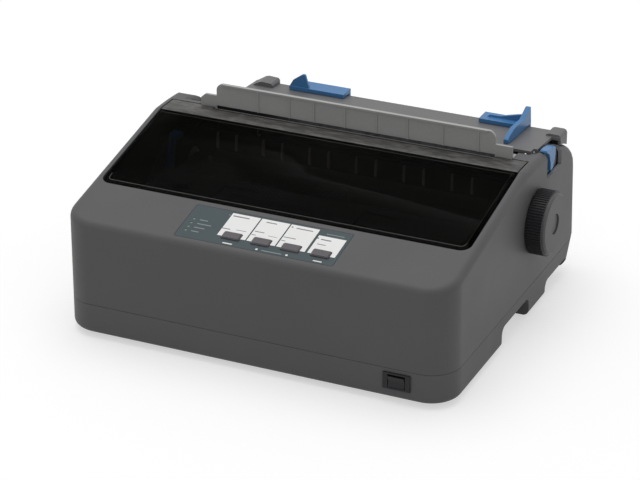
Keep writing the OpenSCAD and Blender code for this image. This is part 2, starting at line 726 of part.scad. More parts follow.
// Gap between the paper guide and the release lever beside it
guide_lever_gap = 2.2;
module left_lug() translate([guide_x0, guide_rear_y, guide_rear_z]) rotate([90, 0, 0])
    linear_extrude(lug_l) polygon([[0, -2], [21, -2], [21, 3], [19.5, 4.7], [11, 5.2], [8, 4.4], [0, -0.5]]);
module right_lug() {
    translate([guide_x1 - 13.5, guide_rear_y, guide_rear_z]) rotate([90, 0, 0]) linear_extrude(lug_l)
        polygon([[0, -2], [13.5, -2], [13.5, 0.5], [12.6, 2.2], [11, 3], [3, 3], [1, 2.2], [0, 0.5]]);
    profile_x(guide_x1 - guide_t, guide_x1) polygon(concat([[guide_rear_y, guide_rear_z],
        [guide_rear_y - lug_l, guide_rear_z]], [for (i = [0:5]) let (y = guide_rear_y - lug_l * (1 - i / 5))
        [y, crown_z(y) + 0.7]]));
}

module paper_guide_rod() color(steel) in_frame()
    rod_x(guide_rod_r, guide_x0 - bracket_t, guide_rod_x1, guide_hinge_y, guide_hinge_z);

// Edge guides: plates that slide along the paper guide's rear edge, each with an upright wing
guide_seat = pass_gap;
module edge_slider(x0, x1) {
    z = guide_z(guide_rear_y - 12) + guide_seat;
    block([x0, guide_rear_y - 12, z], [x1, guide_rear_y + 3.4, z + 3.4]);
    block([x0, guide_rear_y + 0.8, guide_rear_z - 8], [x1, guide_rear_y + 3.4, z + 1]);
}
module edge_guide_left() color(guide_blue) in_frame() {
    z = guide_z(guide_rear_y - 12) + guide_seat;
    edge_slider(left_guide_x - 16, left_guide_x + 34);
    translate([left_guide_x - 16, guide_rear_y - 9, z]) rotate([90, 0, 0]) linear_extrude(2.4)
        polygon([[0, 0], [18, 0], [18, 3.4], [14.5, edge_guide_h], [12, edge_guide_h], [3.5, 9], [0, 3]]);
}
module edge_guide_right() color(guide_blue) in_frame() {
    z = guide_z(guide_rear_y - 12) + guide_seat;
    z1 = guide_z(guide_front_y + 7) + guide_seat;
    edge_slider(right_guide_x - 38, right_guide_x + 2);
    // Long wall beside the paper
    profile_x(right_guide_x - 2, right_guide_x + 2)
        polygon([[guide_front_y + 7, z1], [guide_rear_y - 12, z],
        [guide_rear_y + 3.4, z], [guide_rear_y + 2, z + edge_guide_h],
            [guide_rear_y - 1, z + edge_guide_h],
        [guide_rear_y - 14, z + 9.5], [guide_front_y + 22, z1 + 8], [guide_front_y + 9, z1 + 5],
        [guide_front_y + 7, z1 + 3]]);
    // Upright wing across its rear end
    translate([right_guide_x - 36, guide_rear_y - 3, z]) rotate([90, 0, 0]) linear_extrude(2.4)
        polygon([[0, 0], [36, 0], [36, 10.5], [29, 9], [15, 5.5], [5, 5.2], [1.5, 2.5]]);
}

// Control panel: overlay with its label cells, the board under it, light pipes and buttons
module panel_overlay() color(panel_teal) in_frame() on_top() difference() {
    union() {
        translate([panel_x, panel_y + panel_l / 2, -panel_sink])
            round_plate(panel_w, panel_l, panel_t - 0.2, 1.7);
        for (i = [0:3]) label_cell(i);
    }
    for (i = [0:3]) translate([button_x(i), button_y, -5])
        round_plate(button_w + 0.8, button_l + 0.8, 10, 1.4);
    for (y = light_ys) translate([light_x, y, -5]) cylinder(r = 1.2, h = 10, $fn = 32);
}
module label_cell(i) {
    top = i == 3 ? cell_y[1] - 6.7 : cell_y[1];
    translate([button_x(i) - 12 + (i == 3 ? 1 : 0), cell_y[0], -panel_sink])
        cube([i == 3 ? 23 : 24, top - cell_y[0], panel_t]);
}

module panel_board() color(board_green) in_frame() on_top() {
    translate([0, panel_y + panel_l / 2, -board_drop - 1.6]) round_plate(panel_w, panel_l - 2, 1.6, 2);
    // Key switches under the buttons and lamps under the light pipes
    for (i = [0:3]) translate([button_x(i), button_y, -board_drop]) {
        translate([0, 0, 1]) cube([6, 6, 2], center = true);
        cylinder(r = 1.7, h = 3, $fn = 32);
    }
    for (y = light_ys) translate([light_x, y, -board_drop]) cylinder(r = 1.1, h = 1.5, $fn = 32);
}

module panel_lights() color("#9fd0a0") in_frame() on_top() for (y = light_ys)
    translate([light_x, y, -board_drop + 1.8]) cylinder(r = 1.1, h = board_drop - 1.8 - 0.2, $fn = 32);

module panel_button(i) color(case_grey) in_frame() on_top() translate([button_x(i), button_y, 0]) {
    translate([0, 0, -2.4]) round_plate(button_w, button_l, 3.2, 1.2);
    translate([0, 0, 0.8]) round_plate(button_w - 1.2, button_l - 1.2, 0.6, 1);
    translate([0, 0, -board_drop + 3 + button_travel + 0.1])
        cylinder(r = stem_r, h = board_drop - 3 - button_travel - 2, $fn = 32);
}
module button_1() panel_button(0);
module button_2() panel_button(1);
module button_3() panel_button(2);
module button_4() panel_button(3);

// Power switch: a bezel and housing in the front wall, and a rocker on a pin
rocker_w = 13.5;
rocker_h = 10.2;
rocker_pin_r = 1.2;
rocker_tilt = 6;
rocker_pivot_y = 4;
rocker_l = 6.2;
rocker_edge = 4.3;
front_out = rocker_l * cos(rocker_tilt) + rocker_edge * sin(rocker_tilt) - rocker_pivot_y;
module switch_bezel() color(black_plastic) in_frame() translate([switch_x, 0, switch_z]) difference() {
    union() {
        block([-switch_w / 2, -1.4, -switch_h / 2], [switch_w / 2, -0.02, switch_h / 2]);
        block([-switch_w / 2 + 1.4, -0.1, -switch_h / 2 + 1.4],
            [switch_w / 2 - 1.4, 16, switch_h / 2 - 1.4]);
        for (x = [-5, 5]) block([x - 0.4, 15, -2.5], [x + 0.4, 22, 2.5]);
    }
    block([-rocker_w / 2 - 0.4, -5, -rocker_h / 2 - 0.4], [rocker_w / 2 + 0.4, 10, rocker_h / 2 + 0.4]);
    rod_x(rocker_pin_r + run_fit, -rocker_w / 2 - 2.4, rocker_w / 2 + 2.4, rocker_pivot_y, 0);
}
module power_rocker() color(black_plastic) in_frame() translate([switch_x, 0, switch_z]) {
    profile_x(-rocker_w / 2, rocker_w / 2) translate([rocker_pivot_y, 0]) rotate(rocker_tilt)
        polygon([[-rocker_l, rocker_edge], [-5.4, 4.7], [1.8, 3.4], [3.2, 0], [1.8, -3.4], [-5.4, -4.7],
        [-rocker_l, -rocker_edge], [-5, 0]]);
    rod_x(rocker_pin_r, -rocker_w / 2 - 2, rocker_w / 2 + 2, rocker_pivot_y, 0);
}

// Steel tray that ties the side plates together
module chassis_tray() color(zinc) in_frame() difference() {
    union() {
        block([plate_l, tray_y0, tray_z], [plate_r, tray_y1, tray_z + tray_t]);
        block([plate_l, tray_y0, tray_z], [plate_r, tray_y0 + 1.5, tray_z + 8]);
        block([plate_l, tray_y1 - 1.5, tray_z], [plate_r, tray_y1, tray_z + 8]);
    }
    for (x = [path_x - 60, path_x, path_x + 60]) translate([x, (tray_y0 + tray_y1) / 2, 0])
        cylinder(r = 14, h = far, $fn = 48);
}

// Side plates: they carry the platen, the rods, the tractor shafts and the gears
plate_outline = [[tray_y0, tray_z], [tray_y1, tray_z], [support_y + 5, tray_z + 30],
    [support_y + 5, support_z + 5],
    [tractor_y - 8, tractor_z + 13], [platen_y + 6, platen_z + 22], [platen_y - 18, platen_z + 38],
    [platen_y - 30, platen_z + 36], [rail_y - 8, platen_z + 24], [cartridge_seat_y[1], cartridge_z - 2],
    [cartridge_seat_y[0], cartridge_z - 2], [cartridge_seat_y[0], cartridge_z - 10]];
module side_plate(x, bush_r) difference() {
    profile_x(x, x + plate_t) polygon(plate_outline);
    rod_x(bush_r, x - 5, x + 5, platen_y, platen_z);
    rod_x(rail_r + seat_fit, x - 5, x + 5, rail_y, rail_z);
    rod_x(support_r + seat_fit, x - 5, x + 5, support_y, support_z);
    rod_x(square * 0.75 + run_fit, x - 5, x + 5, tractor_y, tractor_z);
    rod_x(pinch_shaft_r + run_fit, x - 5, x + 5, pinch_pos[0], pinch_pos[1]);
}
bushing_r = shaft_r + 3;
module cartridge_seat(x0, x1)
    block([x0, cartridge_seat_y[0], cartridge_z - 2], [x1, cartridge_seat_y[1], cartridge_z - pass_gap]);
module side_plate_left() color(zinc) in_frame() difference() {
    union() {
        side_plate(plate_l - plate_t, bushing_r + seat_fit);
        cartridge_seat(plate_l - plate_t, cartridge_x0 + 6);
        // Stud for the idler gear
        rod_x(3, gear_x - 1.5, plate_l - plate_t + eps, idler_pos[0], idler_pos[1]);
    }
    rod_x(2.5, plate_l - 5, plate_l + 5, pinion_pos[0], pinion_pos[1]);
}
module side_plate_right() color(zinc) in_frame() union() {
    side_plate(plate_r, bushing_r + seat_fit);
    cartridge_seat(cartridge_x1 - 6, plate_r + plate_t);
    // Stud for the release lever
    rod_x(3, plate_r + plate_t - eps, lever_x + 3.6, lever_pivot[0], lever_pivot[1]);
}
lever_pivot = [guide_front_y + 14, platen_z];

module platen_roller() color(rubber_black) in_frame() difference() {
    rod_x(platen_r, platen_x0, platen_x0 + platen_len, platen_y, platen_z);
    rod_x(core_r + seat_fit, platen_x0 - 1, platen_x0 + platen_len + 1, platen_y, platen_z);
}
knob_x = half_w + 0.4;
module platen_shaft() color(steel) in_frame() {
    rod_x(core_r, platen_x0, platen_x0 + platen_len, platen_y, platen_z);
    rod_x(shaft_r, gear_x - 2, knob_x + knob_out - 5, platen_y, platen_z);
}
module platen_bushings() color(nylon) in_frame() for (x = [plate_l - plate_t, plate_r]) difference() {
    union() {
        rod_x(bushing_r, x, x + plate_t, platen_y, platen_z);
        rod_x(bushing_r + 2, x > 0 ? x - 1.5 : x + plate_t, x > 0 ? x : x + plate_t + 1.5, platen_y,
            platen_z);
    }
    rod_x(shaft_r + run_fit, x - 5, x + 8, platen_y, platen_z);
}

// Knob: a grooved rim, a rounded face and a round recess in its middle
module platen_knob() color(case_grey) in_frame() translate([knob_x, platen_y, platen_z]) difference() {
    union() {
        rotate([90, 0, 90]) linear_extrude(knob_out - 3.4) knob_outline(knob_r);
        rotate([0, 90, 0]) cylinder(r = knob_r - 1.6, h = knob_out - 1.6, $fn = 96);
        translate([knob_out - 1.6 - eps, 0, 0]) rotate([0, 90, 0])
            cylinder(r1 = knob_r - 1.6, r2 = knob_r - 3, h = 1.2 + eps, $fn = 96);
    }
    rod_x(8.5, knob_out - 1.7, knob_out + 5, 0, 0);
    rod_x(shaft_r + seat_fit, -1, knob_out - 5, 0, 0);
}
module knob_outline(r) polygon([for (i = [0:knob_grooves - 1], k = [0:3])
    let (a = (i + k / 4) * 360 / knob_grooves) (k < 2 ? r : r - 0.9) * [cos(a), sin(a)]]);

// A spur gear with n straight-sided teeth, its first tooth at the angle phase
tooth_add = 0.8;
tooth_ded = 1.15;
function tooth(r, a, half) = [r * cos(a + half), r * sin(a + half)];
module gear_outline(n, phase) {
    r = n * gear_m / 2;
    step = 360 / n;
    root = r - tooth_ded * gear_m;
    tip = r + tooth_add * gear_m;
    polygon([for (i = [0:n - 1]) let (a = phase + i * step) each [
        tooth(root, a, -step * 0.31), tooth(r, a, -step * 0.2), tooth(tip, a, -step * 0.11),
        tooth(tip, a, step * 0.11), tooth(r, a, step * 0.2), tooth(root, a, step * 0.31)]]);
}
module gear(n, phase, at) translate([gear_x, at[0], at[1]]) rotate([90, 0, 90]) linear_extrude(gear_w)
    gear_outline(n, phase);

module platen_gear() color(nylon) in_frame() difference() {
    gear(platen_teeth, 0, [platen_y, platen_z]);
    rod_x(shaft_r + seat_fit, gear_x - 1, gear_x + gear_w + 1, platen_y, platen_z);
    for (a = [30:60:330]) rod_x(3.5, gear_x - 1, gear_x + gear_w + 1, platen_y + 11.5 * cos(a),
        platen_z + 11.5 * sin(a));
}
module feed_pinion() color(steel) in_frame() {
    gear(pinion_teeth, phase_n, pinion_pos);
    rod_x(1.5, gear_x, plate_l + 3, pinion_pos[0], pinion_pos[1]);
}
module idler_gear() color(nylon) in_frame() difference() {
    gear(idler_teeth, phase_i, idler_pos);
    rod_x(3 + run_fit, gear_x - 1, gear_x + gear_w + 1, idler_pos[0], idler_pos[1]);
}
module tractor_gear() color(nylon) in_frame() difference() {
    gear(tractor_teeth, phase_t, [tractor_y, tractor_z]);
    rod_x(square * 0.75 + seat_fit, gear_x - 1, gear_x + gear_w + 1, tractor_y, tractor_z);
}

module feed_motor() color(black_plastic) in_frame() difference() {
    union() {
        rod_x(17, plate_l, plate_l + 19, pinion_pos[0], pinion_pos[1]);
        rod_x(5, plate_l + 19, plate_l + 21, pinion_pos[0], pinion_pos[1]);
    }
    rod_x(1.5 + run_fit, plate_l - 1, plate_l + 4, pinion_pos[0], pinion_pos[1]);
}

// Tractor drive: a square shaft with round journals, and a round rail
module tractor_shaft() color(steel) in_frame() {
    translate([plate_l + 1, tractor_y, tractor_z]) rotate([tractor_roll, 0, 0])
        block([0, -square / 2, -square / 2], [plate_r - plate_l - 2, square / 2, square / 2]);
    rod_x(square * 0.75, gear_x, plate_l + 1 + eps, tractor_y, tractor_z);
    rod_x(square * 0.75, plate_r - 1 - eps, plate_r + plate_t + 1, tractor_y, tractor_z);
}
tractor_roll = 0;
module tractor_rail() color(steel) in_frame()
    rod_x(support_r, plate_l - plate_t, plate_r + plate_t, support_y, support_z);

sprocket_hub = square * 0.75 + 1.6;
tractor_block = [[tractor_y - 12, tractor_z - 9], [support_y + 6, tractor_z - 9],
    [support_y + 6, tractor_z + 7],
    [tractor_y - 12, tractor_z + 7]];
slot_w = 5;
ear_t = 2.5;
flap_pin_r = 1.5;
flap_z = tractor_z + sprocket_r + 2.2;
flap_pin = [support_y + 8, flap_z - 1];
module tractor_frame(x) difference() {
    union() {
        profile_x(x - tractor_w / 2, x + tractor_w / 2) polygon(tractor_block);
        for (s = [0, tractor_w - ear_t]) {
            rod_x(3.2, x - tractor_w / 2 + s, x - tractor_w / 2 + s + ear_t, flap_pin[0], flap_pin[1]);
            block([x - tractor_w / 2 + s, flap_pin[0] - 8, tractor_z + 6],
                [x - tractor_w / 2 + s + ear_t, flap_pin[0], flap_pin[1] + 1]);
        }
    }
    rod_x(flap_pin_r + run_fit, x - tractor_w, x + tractor_w, flap_pin[0], flap_pin[1]);
    rod_x(sprocket_hub + 0.3, x - tractor_w, x + tractor_w, tractor_y, tractor_z);
    rod_x(support_r + run_fit, x - tractor_w, x + tractor_w, support_y, support_z);
    rod_x(sprocket_r + 2.6, x - slot_w / 2, x + slot_w / 2, tractor_y, tractor_z);
}
module tractor_left() color(black_plastic) in_frame() tractor_frame(path_x - tractor_x);
module tractor_right() color(black_plastic) in_frame() tractor_frame(path_x + tractor_x);

module sprocket(x) difference() {
    union() {
        rod_x(sprocket_r, x - slot_w / 2 + 0.4, x + slot_w / 2 - 0.4, tractor_y, tractor_z);
        rod_x(sprocket_hub, x - tractor_w / 2, x + tractor_w / 2, tractor_y, tractor_z);
        for (i = [0:5]) translate([x, tractor_y, tractor_z]) rotate([i * 60, 0, 0])
            translate([0, 0, sprocket_r - 0.5]) cylinder(r1 = 1.3, r2 = 0.7, h = 2.3, $fn = 32);
    }
    translate([x - tractor_w, tractor_y, tractor_z]) rotate([tractor_roll, 0, 0])
        block([0, -square / 2 - 0.1, -square / 2 - 0.1],
            [2 * tractor_w, square / 2 + 0.1, square / 2 + 0.1]);
}
module sprocket_left() color(nylon) in_frame() sprocket(path_x - tractor_x);
module sprocket_right() color(nylon) in_frame() sprocket(path_x + tractor_x);

// Flaps that hold the paper down on the tractors' pins, each turning on a pin at its rear end
module tractor_flap(x) {
    w = tractor_w / 2 - ear_t - pass_gap;
    rod_x(flap_pin_r, x - tractor_w / 2, x + tractor_w / 2, flap_pin[0], flap_pin[1]);
    rod_x(2.6, x - w, x + w, flap_pin[0], flap_pin[1]);
    profile_x(x - w, x + w)
        polygon([[tractor_y - 6, flap_z], [flap_pin[0], flap_z], [flap_pin[0] + 1, flap_z + 1],
        [flap_pin[0], flap_z + 2], [tractor_y - 6, flap_z + 2]]);
    profile_x(x - tractor_w / 2, x + tractor_w / 2)
        polygon([[tractor_y - 10, flap_z], [flap_pin[0] - 10, flap_z],
        [flap_pin[0] - 10, flap_z + 2], [tractor_y - 10, flap_z + 2]]);
}
module tractor_flap_left() color(black_plastic) in_frame() tractor_flap(path_x - tractor_x);
module tractor_flap_right() color(black_plastic) in_frame() tractor_flap(path_x + tractor_x);

// Rubber rollers that press the paper against the platen from below
module pinch_rollers() color(rubber_black) in_frame() {
    rod_x(pinch_shaft_r, plate_l - plate_t, plate_r + plate_t, pinch_pos[0], pinch_pos[1]);
    for (i = [-2:2]) rod_x(pinch_r, path_x + i * 50 - 9, path_x + i * 50 + 9, pinch_pos[0], pinch_pos[1]);
}

// Curved sheet that leads the paper under the platen
chute_r = platen_r + 3;
module paper_chute() color(black_plastic) in_frame() {
    translate([platen_x0 + 2, 0, 0]) rotate([90, 0, 90]) linear_extrude(plate_r - platen_x0 - 2) {
        translate([platen_y, platen_z]) difference() {
            circle(chute_r + 1.5, $fn = 96);
            circle(chute_r, $fn = 96);
            polygon([[0, 0], [far * cos(-80), far * sin(-80)], [-far, -far], [-far, far], [far, far],
                [far * cos(5), far * sin(5)]]);
        }
        translate([platen_y + chute_r + 0.2, platen_z + 0.5]) rotate(14) square([17, 1.5]);
    }
    // Leg down to the tray
    block([platen_x0 + 2, platen_y + 5, tray_z + tray_t],
        [platen_x0 + 5, platen_y + 8, platen_z - chute_r]);
}

// Comb in front of the paper's way out, with upright ribs
module paper_comb() color(black_plastic) in_frame() {
    block([plate_l, comb_y, comb_z0], [plate_r, comb_y + 2, comb_z1]);
    for (i = [-3:2], d = [-8.5, 8.5]) translate([path_x + 20.7 + i * 41.5 + d, comb_y, 0])
        profile_x(-0.8, 0.8) polygon([[0.1, comb_z0 + 1], [-3, comb_z0 + 3], [-2, comb_z1 - 2],
            [0.1, comb_z1 - 0.5]]);
}
comb_y = platen_y - 18;
comb_z0 = platen_z + 20;
comb_z1 = platen_z + 37;

// Paper release lever on the right: its thumb piece fills the front of the slot in the case, and a fender
// behind it closes the rest
module release_lever() color(guide_blue) in_frame() difference() {
    union() {
        profile_x(lever_x, lever_x + 3) polygon(concat([lever_pivot + [-7, -2], lever_pivot + [7, -2]],
            thumb_outline));
        rod_x(7, lever_x, lever_x + 3, lever_pivot[0], lever_pivot[1]);
        profile_x(lever_x + 2.9, top_half_w - 0.9) polygon(thumb_outline);
        profile_x(lever_x, lever_x + 2.3) polygon(concat(
            [for (a = [42:4:98]) lever_pivot + fender_r * [cos(a), sin(a)]],
            [for (a = [98:-8:42]) lever_pivot + (fender_r - 18) * [cos(a), sin(a)]]));
    }
    rod_x(3 + run_fit, lever_x - 1, lever_x + 4, lever_pivot[0], lever_pivot[1]);
}
fender_r = lever_gap_y - lever_pivot[0] + 19.7;
lever_top = crown_z(lever_slot_y0 + 1) + 1.7;
thumb_y = lever_slot_y0 + 0.6;
thumb_outline = [[thumb_y + 15.4, lever_slot_z + 3.7], [thumb_y + 20.4, lever_slot_z + 12.7],
    [thumb_y + 20.9, lever_top - 5.2], [thumb_y + 18, lever_top - 2.3], [thumb_y + 8, lever_top - 0.5],
    [thumb_y + 0.6, lever_top], [thumb_y, lever_top - 1.2], [thumb_y + 6, lever_top - 5],
    [thumb_y + 9.4, lever_top - 13], [thumb_y + 10, lever_slot_z + 3.7]];

// Paper thickness lever on the carriage rod's left end
module thickness_lever() color(guide_blue) in_frame() difference() {
    union() {
        rod_x(7, plate_l + 0.5, plate_l + 3.5, rail_y, rail_z);
        profile_x(plate_l + 0.5, plate_l + 3.5) polygon([[rail_y - 6, rail_z], [rail_y + 6, rail_z],
            [rail_y + 20, rail_z + 56], [rail_y + 11, rail_z + 56]]);
        block([plate_l + 0.5, rail_y + 11, rail_z + 52], [plate_l + 9, rail_y + 20, rail_z + 56]);
    }
    rod_x(rail_r + run_fit, plate_l - 1, plate_l + 5, rail_y, rail_z);
}

module carriage_rod() color(steel) in_frame()
    rod_x(rail_r, plate_l - plate_t, plate_r + plate_t, rail_y, rail_z);

module carriage_rail() color(zinc) in_frame() {
    block([plate_l, front_rail_y, front_rail_z], [plate_r, front_rail_y + 10, front_rail_z + 2]);
    block([plate_l, front_rail_y, front_rail_z - 8], [plate_r, front_rail_y + 1.5, front_rail_z]);
    // Legs down to the tray
    for (x = [plate_l, plate_r - 8])
        block([x, front_rail_y, tray_z + tray_t], [x + 8, front_rail_y + 1.5, front_rail_z - 8 + eps]);
}

// Carriage: a block on the rod, an arm to the front rail and a clamp on the belt
module carriage() color(black_plastic) in_frame() difference() {
    union() {
        block([path_x - carriage_w / 2, block_y0, block_z0],
            [path_x + carriage_w / 2, block_y1, head_z0]);
        block([path_x - carriage_w / 2 + 6, block_y0 - arm_l, front_rail_z + 2 + pass_gap],
            [path_x + carriage_w / 2 - 6, block_y0 + 1, front_rail_z + 6]);
        block([path_x - 6, belt_y + pulley_r - 3, belt_z + 1],
            [path_x + 6, belt_y + pulley_r + 5, block_z0 + 1]);
        block([path_x - 6, belt_y + pulley_r - 3, belt_z - 1], [path_x + 6, block_y0 + 4, block_z0 + 1]);
    }
    rod_x(rail_r + run_fit, path_x - far, path_x + far, rail_y, rail_z);
    block([path_x - 50, belt_y + pulley_r - pass_gap, belt_z - 5],
        [path_x + 50, belt_y + pulley_r + belt_t + pass_gap, belt_z + belt_h + pass_gap]);
}

// Print head: finned body and a nose that points at the platen
module print_head() color("#3a3a3e") in_frame() {
    block([path_x - head_w / 2, head_y0, head_z0],
        [path_x + head_w / 2, nose_y - 16, head_z0 + head_h - 8]);
    for (i = [0:5]) block([path_x - head_w / 2, head_y0 + i * 4.2, head_z0 + 4],
        [path_x + head_w / 2, head_y0 + i * 4.2 + 1.8, head_z0 + head_h]);
    block([path_x - 7, nose_y - 17, head_z0 + 2], [path_x + 7, nose_y - 6, platen_z + 7]);
    block([path_x - 4, nose_y - 7, platen_z - 5], [path_x + 4, nose_y, platen_z + 5]);
}

// Toothed belt from the drive pulley to the idler pulley
module belt_outline(r) {
    translate([-belt_half, -r]) square([2 * belt_half, 2 * r]);
    for (s = [-1, 1]) translate([s * belt_half, 0]) circle(r, $fn = 64);
}
module carriage_belt() color(rubber_black) in_frame() translate([path_x, belt_y, belt_z])
    linear_extrude(belt_h)
    difference() {
        belt_outline(pulley_r + belt_t);
        belt_outline(pulley_r);
    }
module pulley(x, r0) translate([x, belt_y, belt_z]) {
    translate([0, 0, 0.2]) cylinder(r = pulley_r - pass_gap, h = belt_h - 0.4, $fn = 64);
    translate([0, 0, -1.2]) cylinder(r = r0, h = 1, $fn = 64);
    translate([0, 0, -1.2]) cylinder(r = r0 - 4, h = belt_h + 1, $fn = 64);
}
module drive_pulley() color(nylon) in_frame() {
    pulley(path_x - belt_half, pulley_r + 1);
    translate([path_x - belt_half, belt_y, motor_top - 3]) cylinder(r = 1.5, h = 6, $fn = 48);
}
module idler_pulley() color(nylon) in_frame() difference() {
    pulley(path_x + belt_half, pulley_r + 1);
    translate([path_x + belt_half, belt_y, belt_z - 5]) cylinder(r = 2.5 + run_fit, h = 30, $fn = 48);
}
module carriage_motor() color(black_plastic) in_frame() {
    translate([path_x - belt_half, belt_y, tray_z + tray_t]) difference() {
        cylinder(r = 17, h = motor_top - tray_z - tray_t, $fn = 64);
        translate([0, 0, motor_top - tray_z - tray_t - 5]) cylinder(r = 1.5 + run_fit, h = 10, $fn = 48);
    }
    // Post for the idler pulley
    translate([path_x + belt_half, belt_y, tray_z + tray_t]) {
        cylinder(r = 6, h = belt_z - 1.5 - tray_z - tray_t, $fn = 48);
        cylinder(r = 2.5, h = belt_z + belt_h - tray_z - tray_t, $fn = 48);
    }
}

// Ribbon cartridge: a flat body across the front with an arm at each end, and the ribbon between the arms
module ribbon_cartridge() color(black_plastic) in_frame() difference() {
    union() {
        block([cartridge_x0, cartridge_y0, cartridge_z],
            [cartridge_x1, cartridge_y1, cartridge_z + cartridge_h]);
        for (x = [cartridge_x0, cartridge_x1 - cartridge_arm])
            block([x, cartridge_y1 - 1, platen_z - 9],
                [x + cartridge_arm, ribbon_y + 2.5, cartridge_z + 10]);
        for (x = [cartridge_x0, cartridge_x1 - cartridge_arm])
            block([x, cartridge_y1 - 14, platen_z - 9],
                [x + cartridge_arm, cartridge_y1, cartridge_z + 4]);
    }
    for (x = [cartridge_x0 + cartridge_arm - 6, cartridge_x1 - cartridge_arm - 1])
        block([x, ribbon_y - 0.3, platen_z - ribbon_h / 2 - 0.3],
            [x + 7, ribbon_y + ribbon_t + 0.3, platen_z + ribbon_h / 2 + 0.3]);
    translate([cartridge_x0 + 28, ribbon_knob_y, cartridge_z + cartridge_h - 12])
        cylinder(r = 3 + run_fit, h = 20, $fn = 48);
    // Steps moulded into the lid
    for (x = [cartridge_x0 + 60, cartridge_x1 - 90])
        block([x, cartridge_y0 + 10, cartridge_z + cartridge_h - 1.2],
        [x + 30, cartridge_y1 - 10, cartridge_z + cartridge_h + 1]);
}
module ribbon() color("#0e0e10") in_frame()
    block([cartridge_x0 + cartridge_arm - 5.5, ribbon_y, platen_z - ribbon_h / 2],
        [cartridge_x1 - cartridge_arm + 5.5, ribbon_y + ribbon_t, platen_z + ribbon_h / 2]);
module ribbon_knob() color(black_plastic) in_frame()
    translate([cartridge_x0 + 28, ribbon_knob_y, cartridge_z + cartridge_h]) {
    translate([0, 0, pass_gap]) linear_extrude(4.5)
        polygon([for (i = [0:47]) (i % 4 < 2 ? 9 : 8.3) * [cos(i * 7.5), sin(i * 7.5)]]);
    translate([0, 0, -11.5]) cylinder(r = 3, h = 12, $fn = 48);
}

// Main board with its chips, and the sockets that stand at its rear edge
board_t = 1.6;
chips = [[20, 16, 22], [60, 22, 28], [100, 14, 16]];
can_xs = [12, 40, 126];
module main_board() color(board_green) in_frame() {
    block([board_x0, board_y0, board_z], [board_x1, board_y1, board_z + board_t]);
    for (p = chips) translate([board_x0 + p[0], board_y0 + p[1], board_z + board_t - 0.1])
        cube([p[2], p[2] * 0.8, 2.6]);
    for (x = can_xs) translate([board_x0 + x, board_y0 + 58, board_z + board_t - 0.1])
        cylinder(r = 4, h = 7, $fn = 32);
}
module rear_sockets() color("#c9ccd0") in_frame() for (s = socket_list) socket(s[0], s[1], socket_h);
module socket(x, w, h) translate([x, board_y1 - 12, board_z + board_t]) difference() {
    block([-w / 2, 0, 0], [w / 2, socket_l, h]);
    block([-w / 2 + 3, socket_l - 6, 2.6], [w / 2 - 3, 40, h - 2.6]);
}
module mains_inlet() color(black_plastic) in_frame() translate([inlet_x, body_d, inlet_z]) difference() {
    union() {
        block([-14, -20, -10], [14, -2, 10]);
        block([-17, -wall - 3.4, -13], [17, -wall - 1.6, 13]);
    }
    block([-11, -16, -7], [11, 5, 7]);
}

// Power supply beside the switch, on posts of its own
psu_x1 = half_w - 24;
psu_w = 90;
psu_x0 = psu_x1 - psu_w;
psu_y0 = front_corner_r + 3;
psu_y1 = tray_y0 - 6;
psu_post_h = 6;
psu_z = floor_z + psu_post_h;
module power_supply() color("#8f7d52") in_frame() {
    block([psu_x0, psu_y0, psu_z], [psu_x1, psu_y1, psu_z + 1.6]);
    for (x = [psu_x0 + 5, psu_x1 - 5], y = [psu_y0 + 5, psu_y1 - 5])
        translate([x, y, floor_z]) cylinder(r = 3, h = psu_post_h, $fn = 32);
    // Transformer, two capacitors and a heat sink
    block([psu_x0 + 6, psu_y0 + 6, psu_z + 1.5], [psu_x0 + 40, psu_y1 - 6, psu_z + 30]);
    for (x = [psu_x0 + 50, psu_x0 + 66]) translate([x, psu_y1 - 16, psu_z + 1.5])
        cylinder(r = 7, h = 24, $fn = 48);
    block([psu_x0 + 76, psu_y0 + 6, psu_z + 1.5], [psu_x0 + 78, psu_y1 - 6, psu_z + 24]);
}

lower_case();
upper_case();
rubber_feet();
case_screws();
printer_cover();
tear_off_bar();
cover_hinge_pins();
paper_guide();
paper_guide_rod();
edge_guide_left();
edge_guide_right();
panel_overlay();
panel_board();
panel_lights();
button_1();
button_2();
button_3();
button_4();
switch_bezel();
power_rocker();
chassis_tray();
side_plate_left();
side_plate_right();
platen_roller();
platen_shaft();
platen_bushings();
platen_gear();
platen_knob();
feed_motor();
feed_pinion();
idler_gear();
tractor_gear();
tractor_shaft();
tractor_rail();
tractor_left();
tractor_right();
sprocket_left();
sprocket_right();
tractor_flap_left();
tractor_flap_right();
pinch_rollers();
paper_chute();
paper_comb();
release_lever();
thickness_lever();
carriage_rod();
carriage_rail();
carriage();
print_head();
carriage_belt();
drive_pulley();
idler_pulley();
carriage_motor();
ribbon_cartridge();
ribbon();
ribbon_knob();
main_board();
power_supply();
rear_sockets();
mains_inlet();
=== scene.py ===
"""Desktop dot matrix printer with its smoked cover shut: finishes, small details, camera and light.

Places are written in millimetres from the middle of the front of the case at table level, as at(x, y, z),
with X to the right, Y to the back and Z up. Patterns are scaled in millimetres too.
"""

import json
from math import cos, radians, sin

import bpy
from mathutils import Matrix, Vector


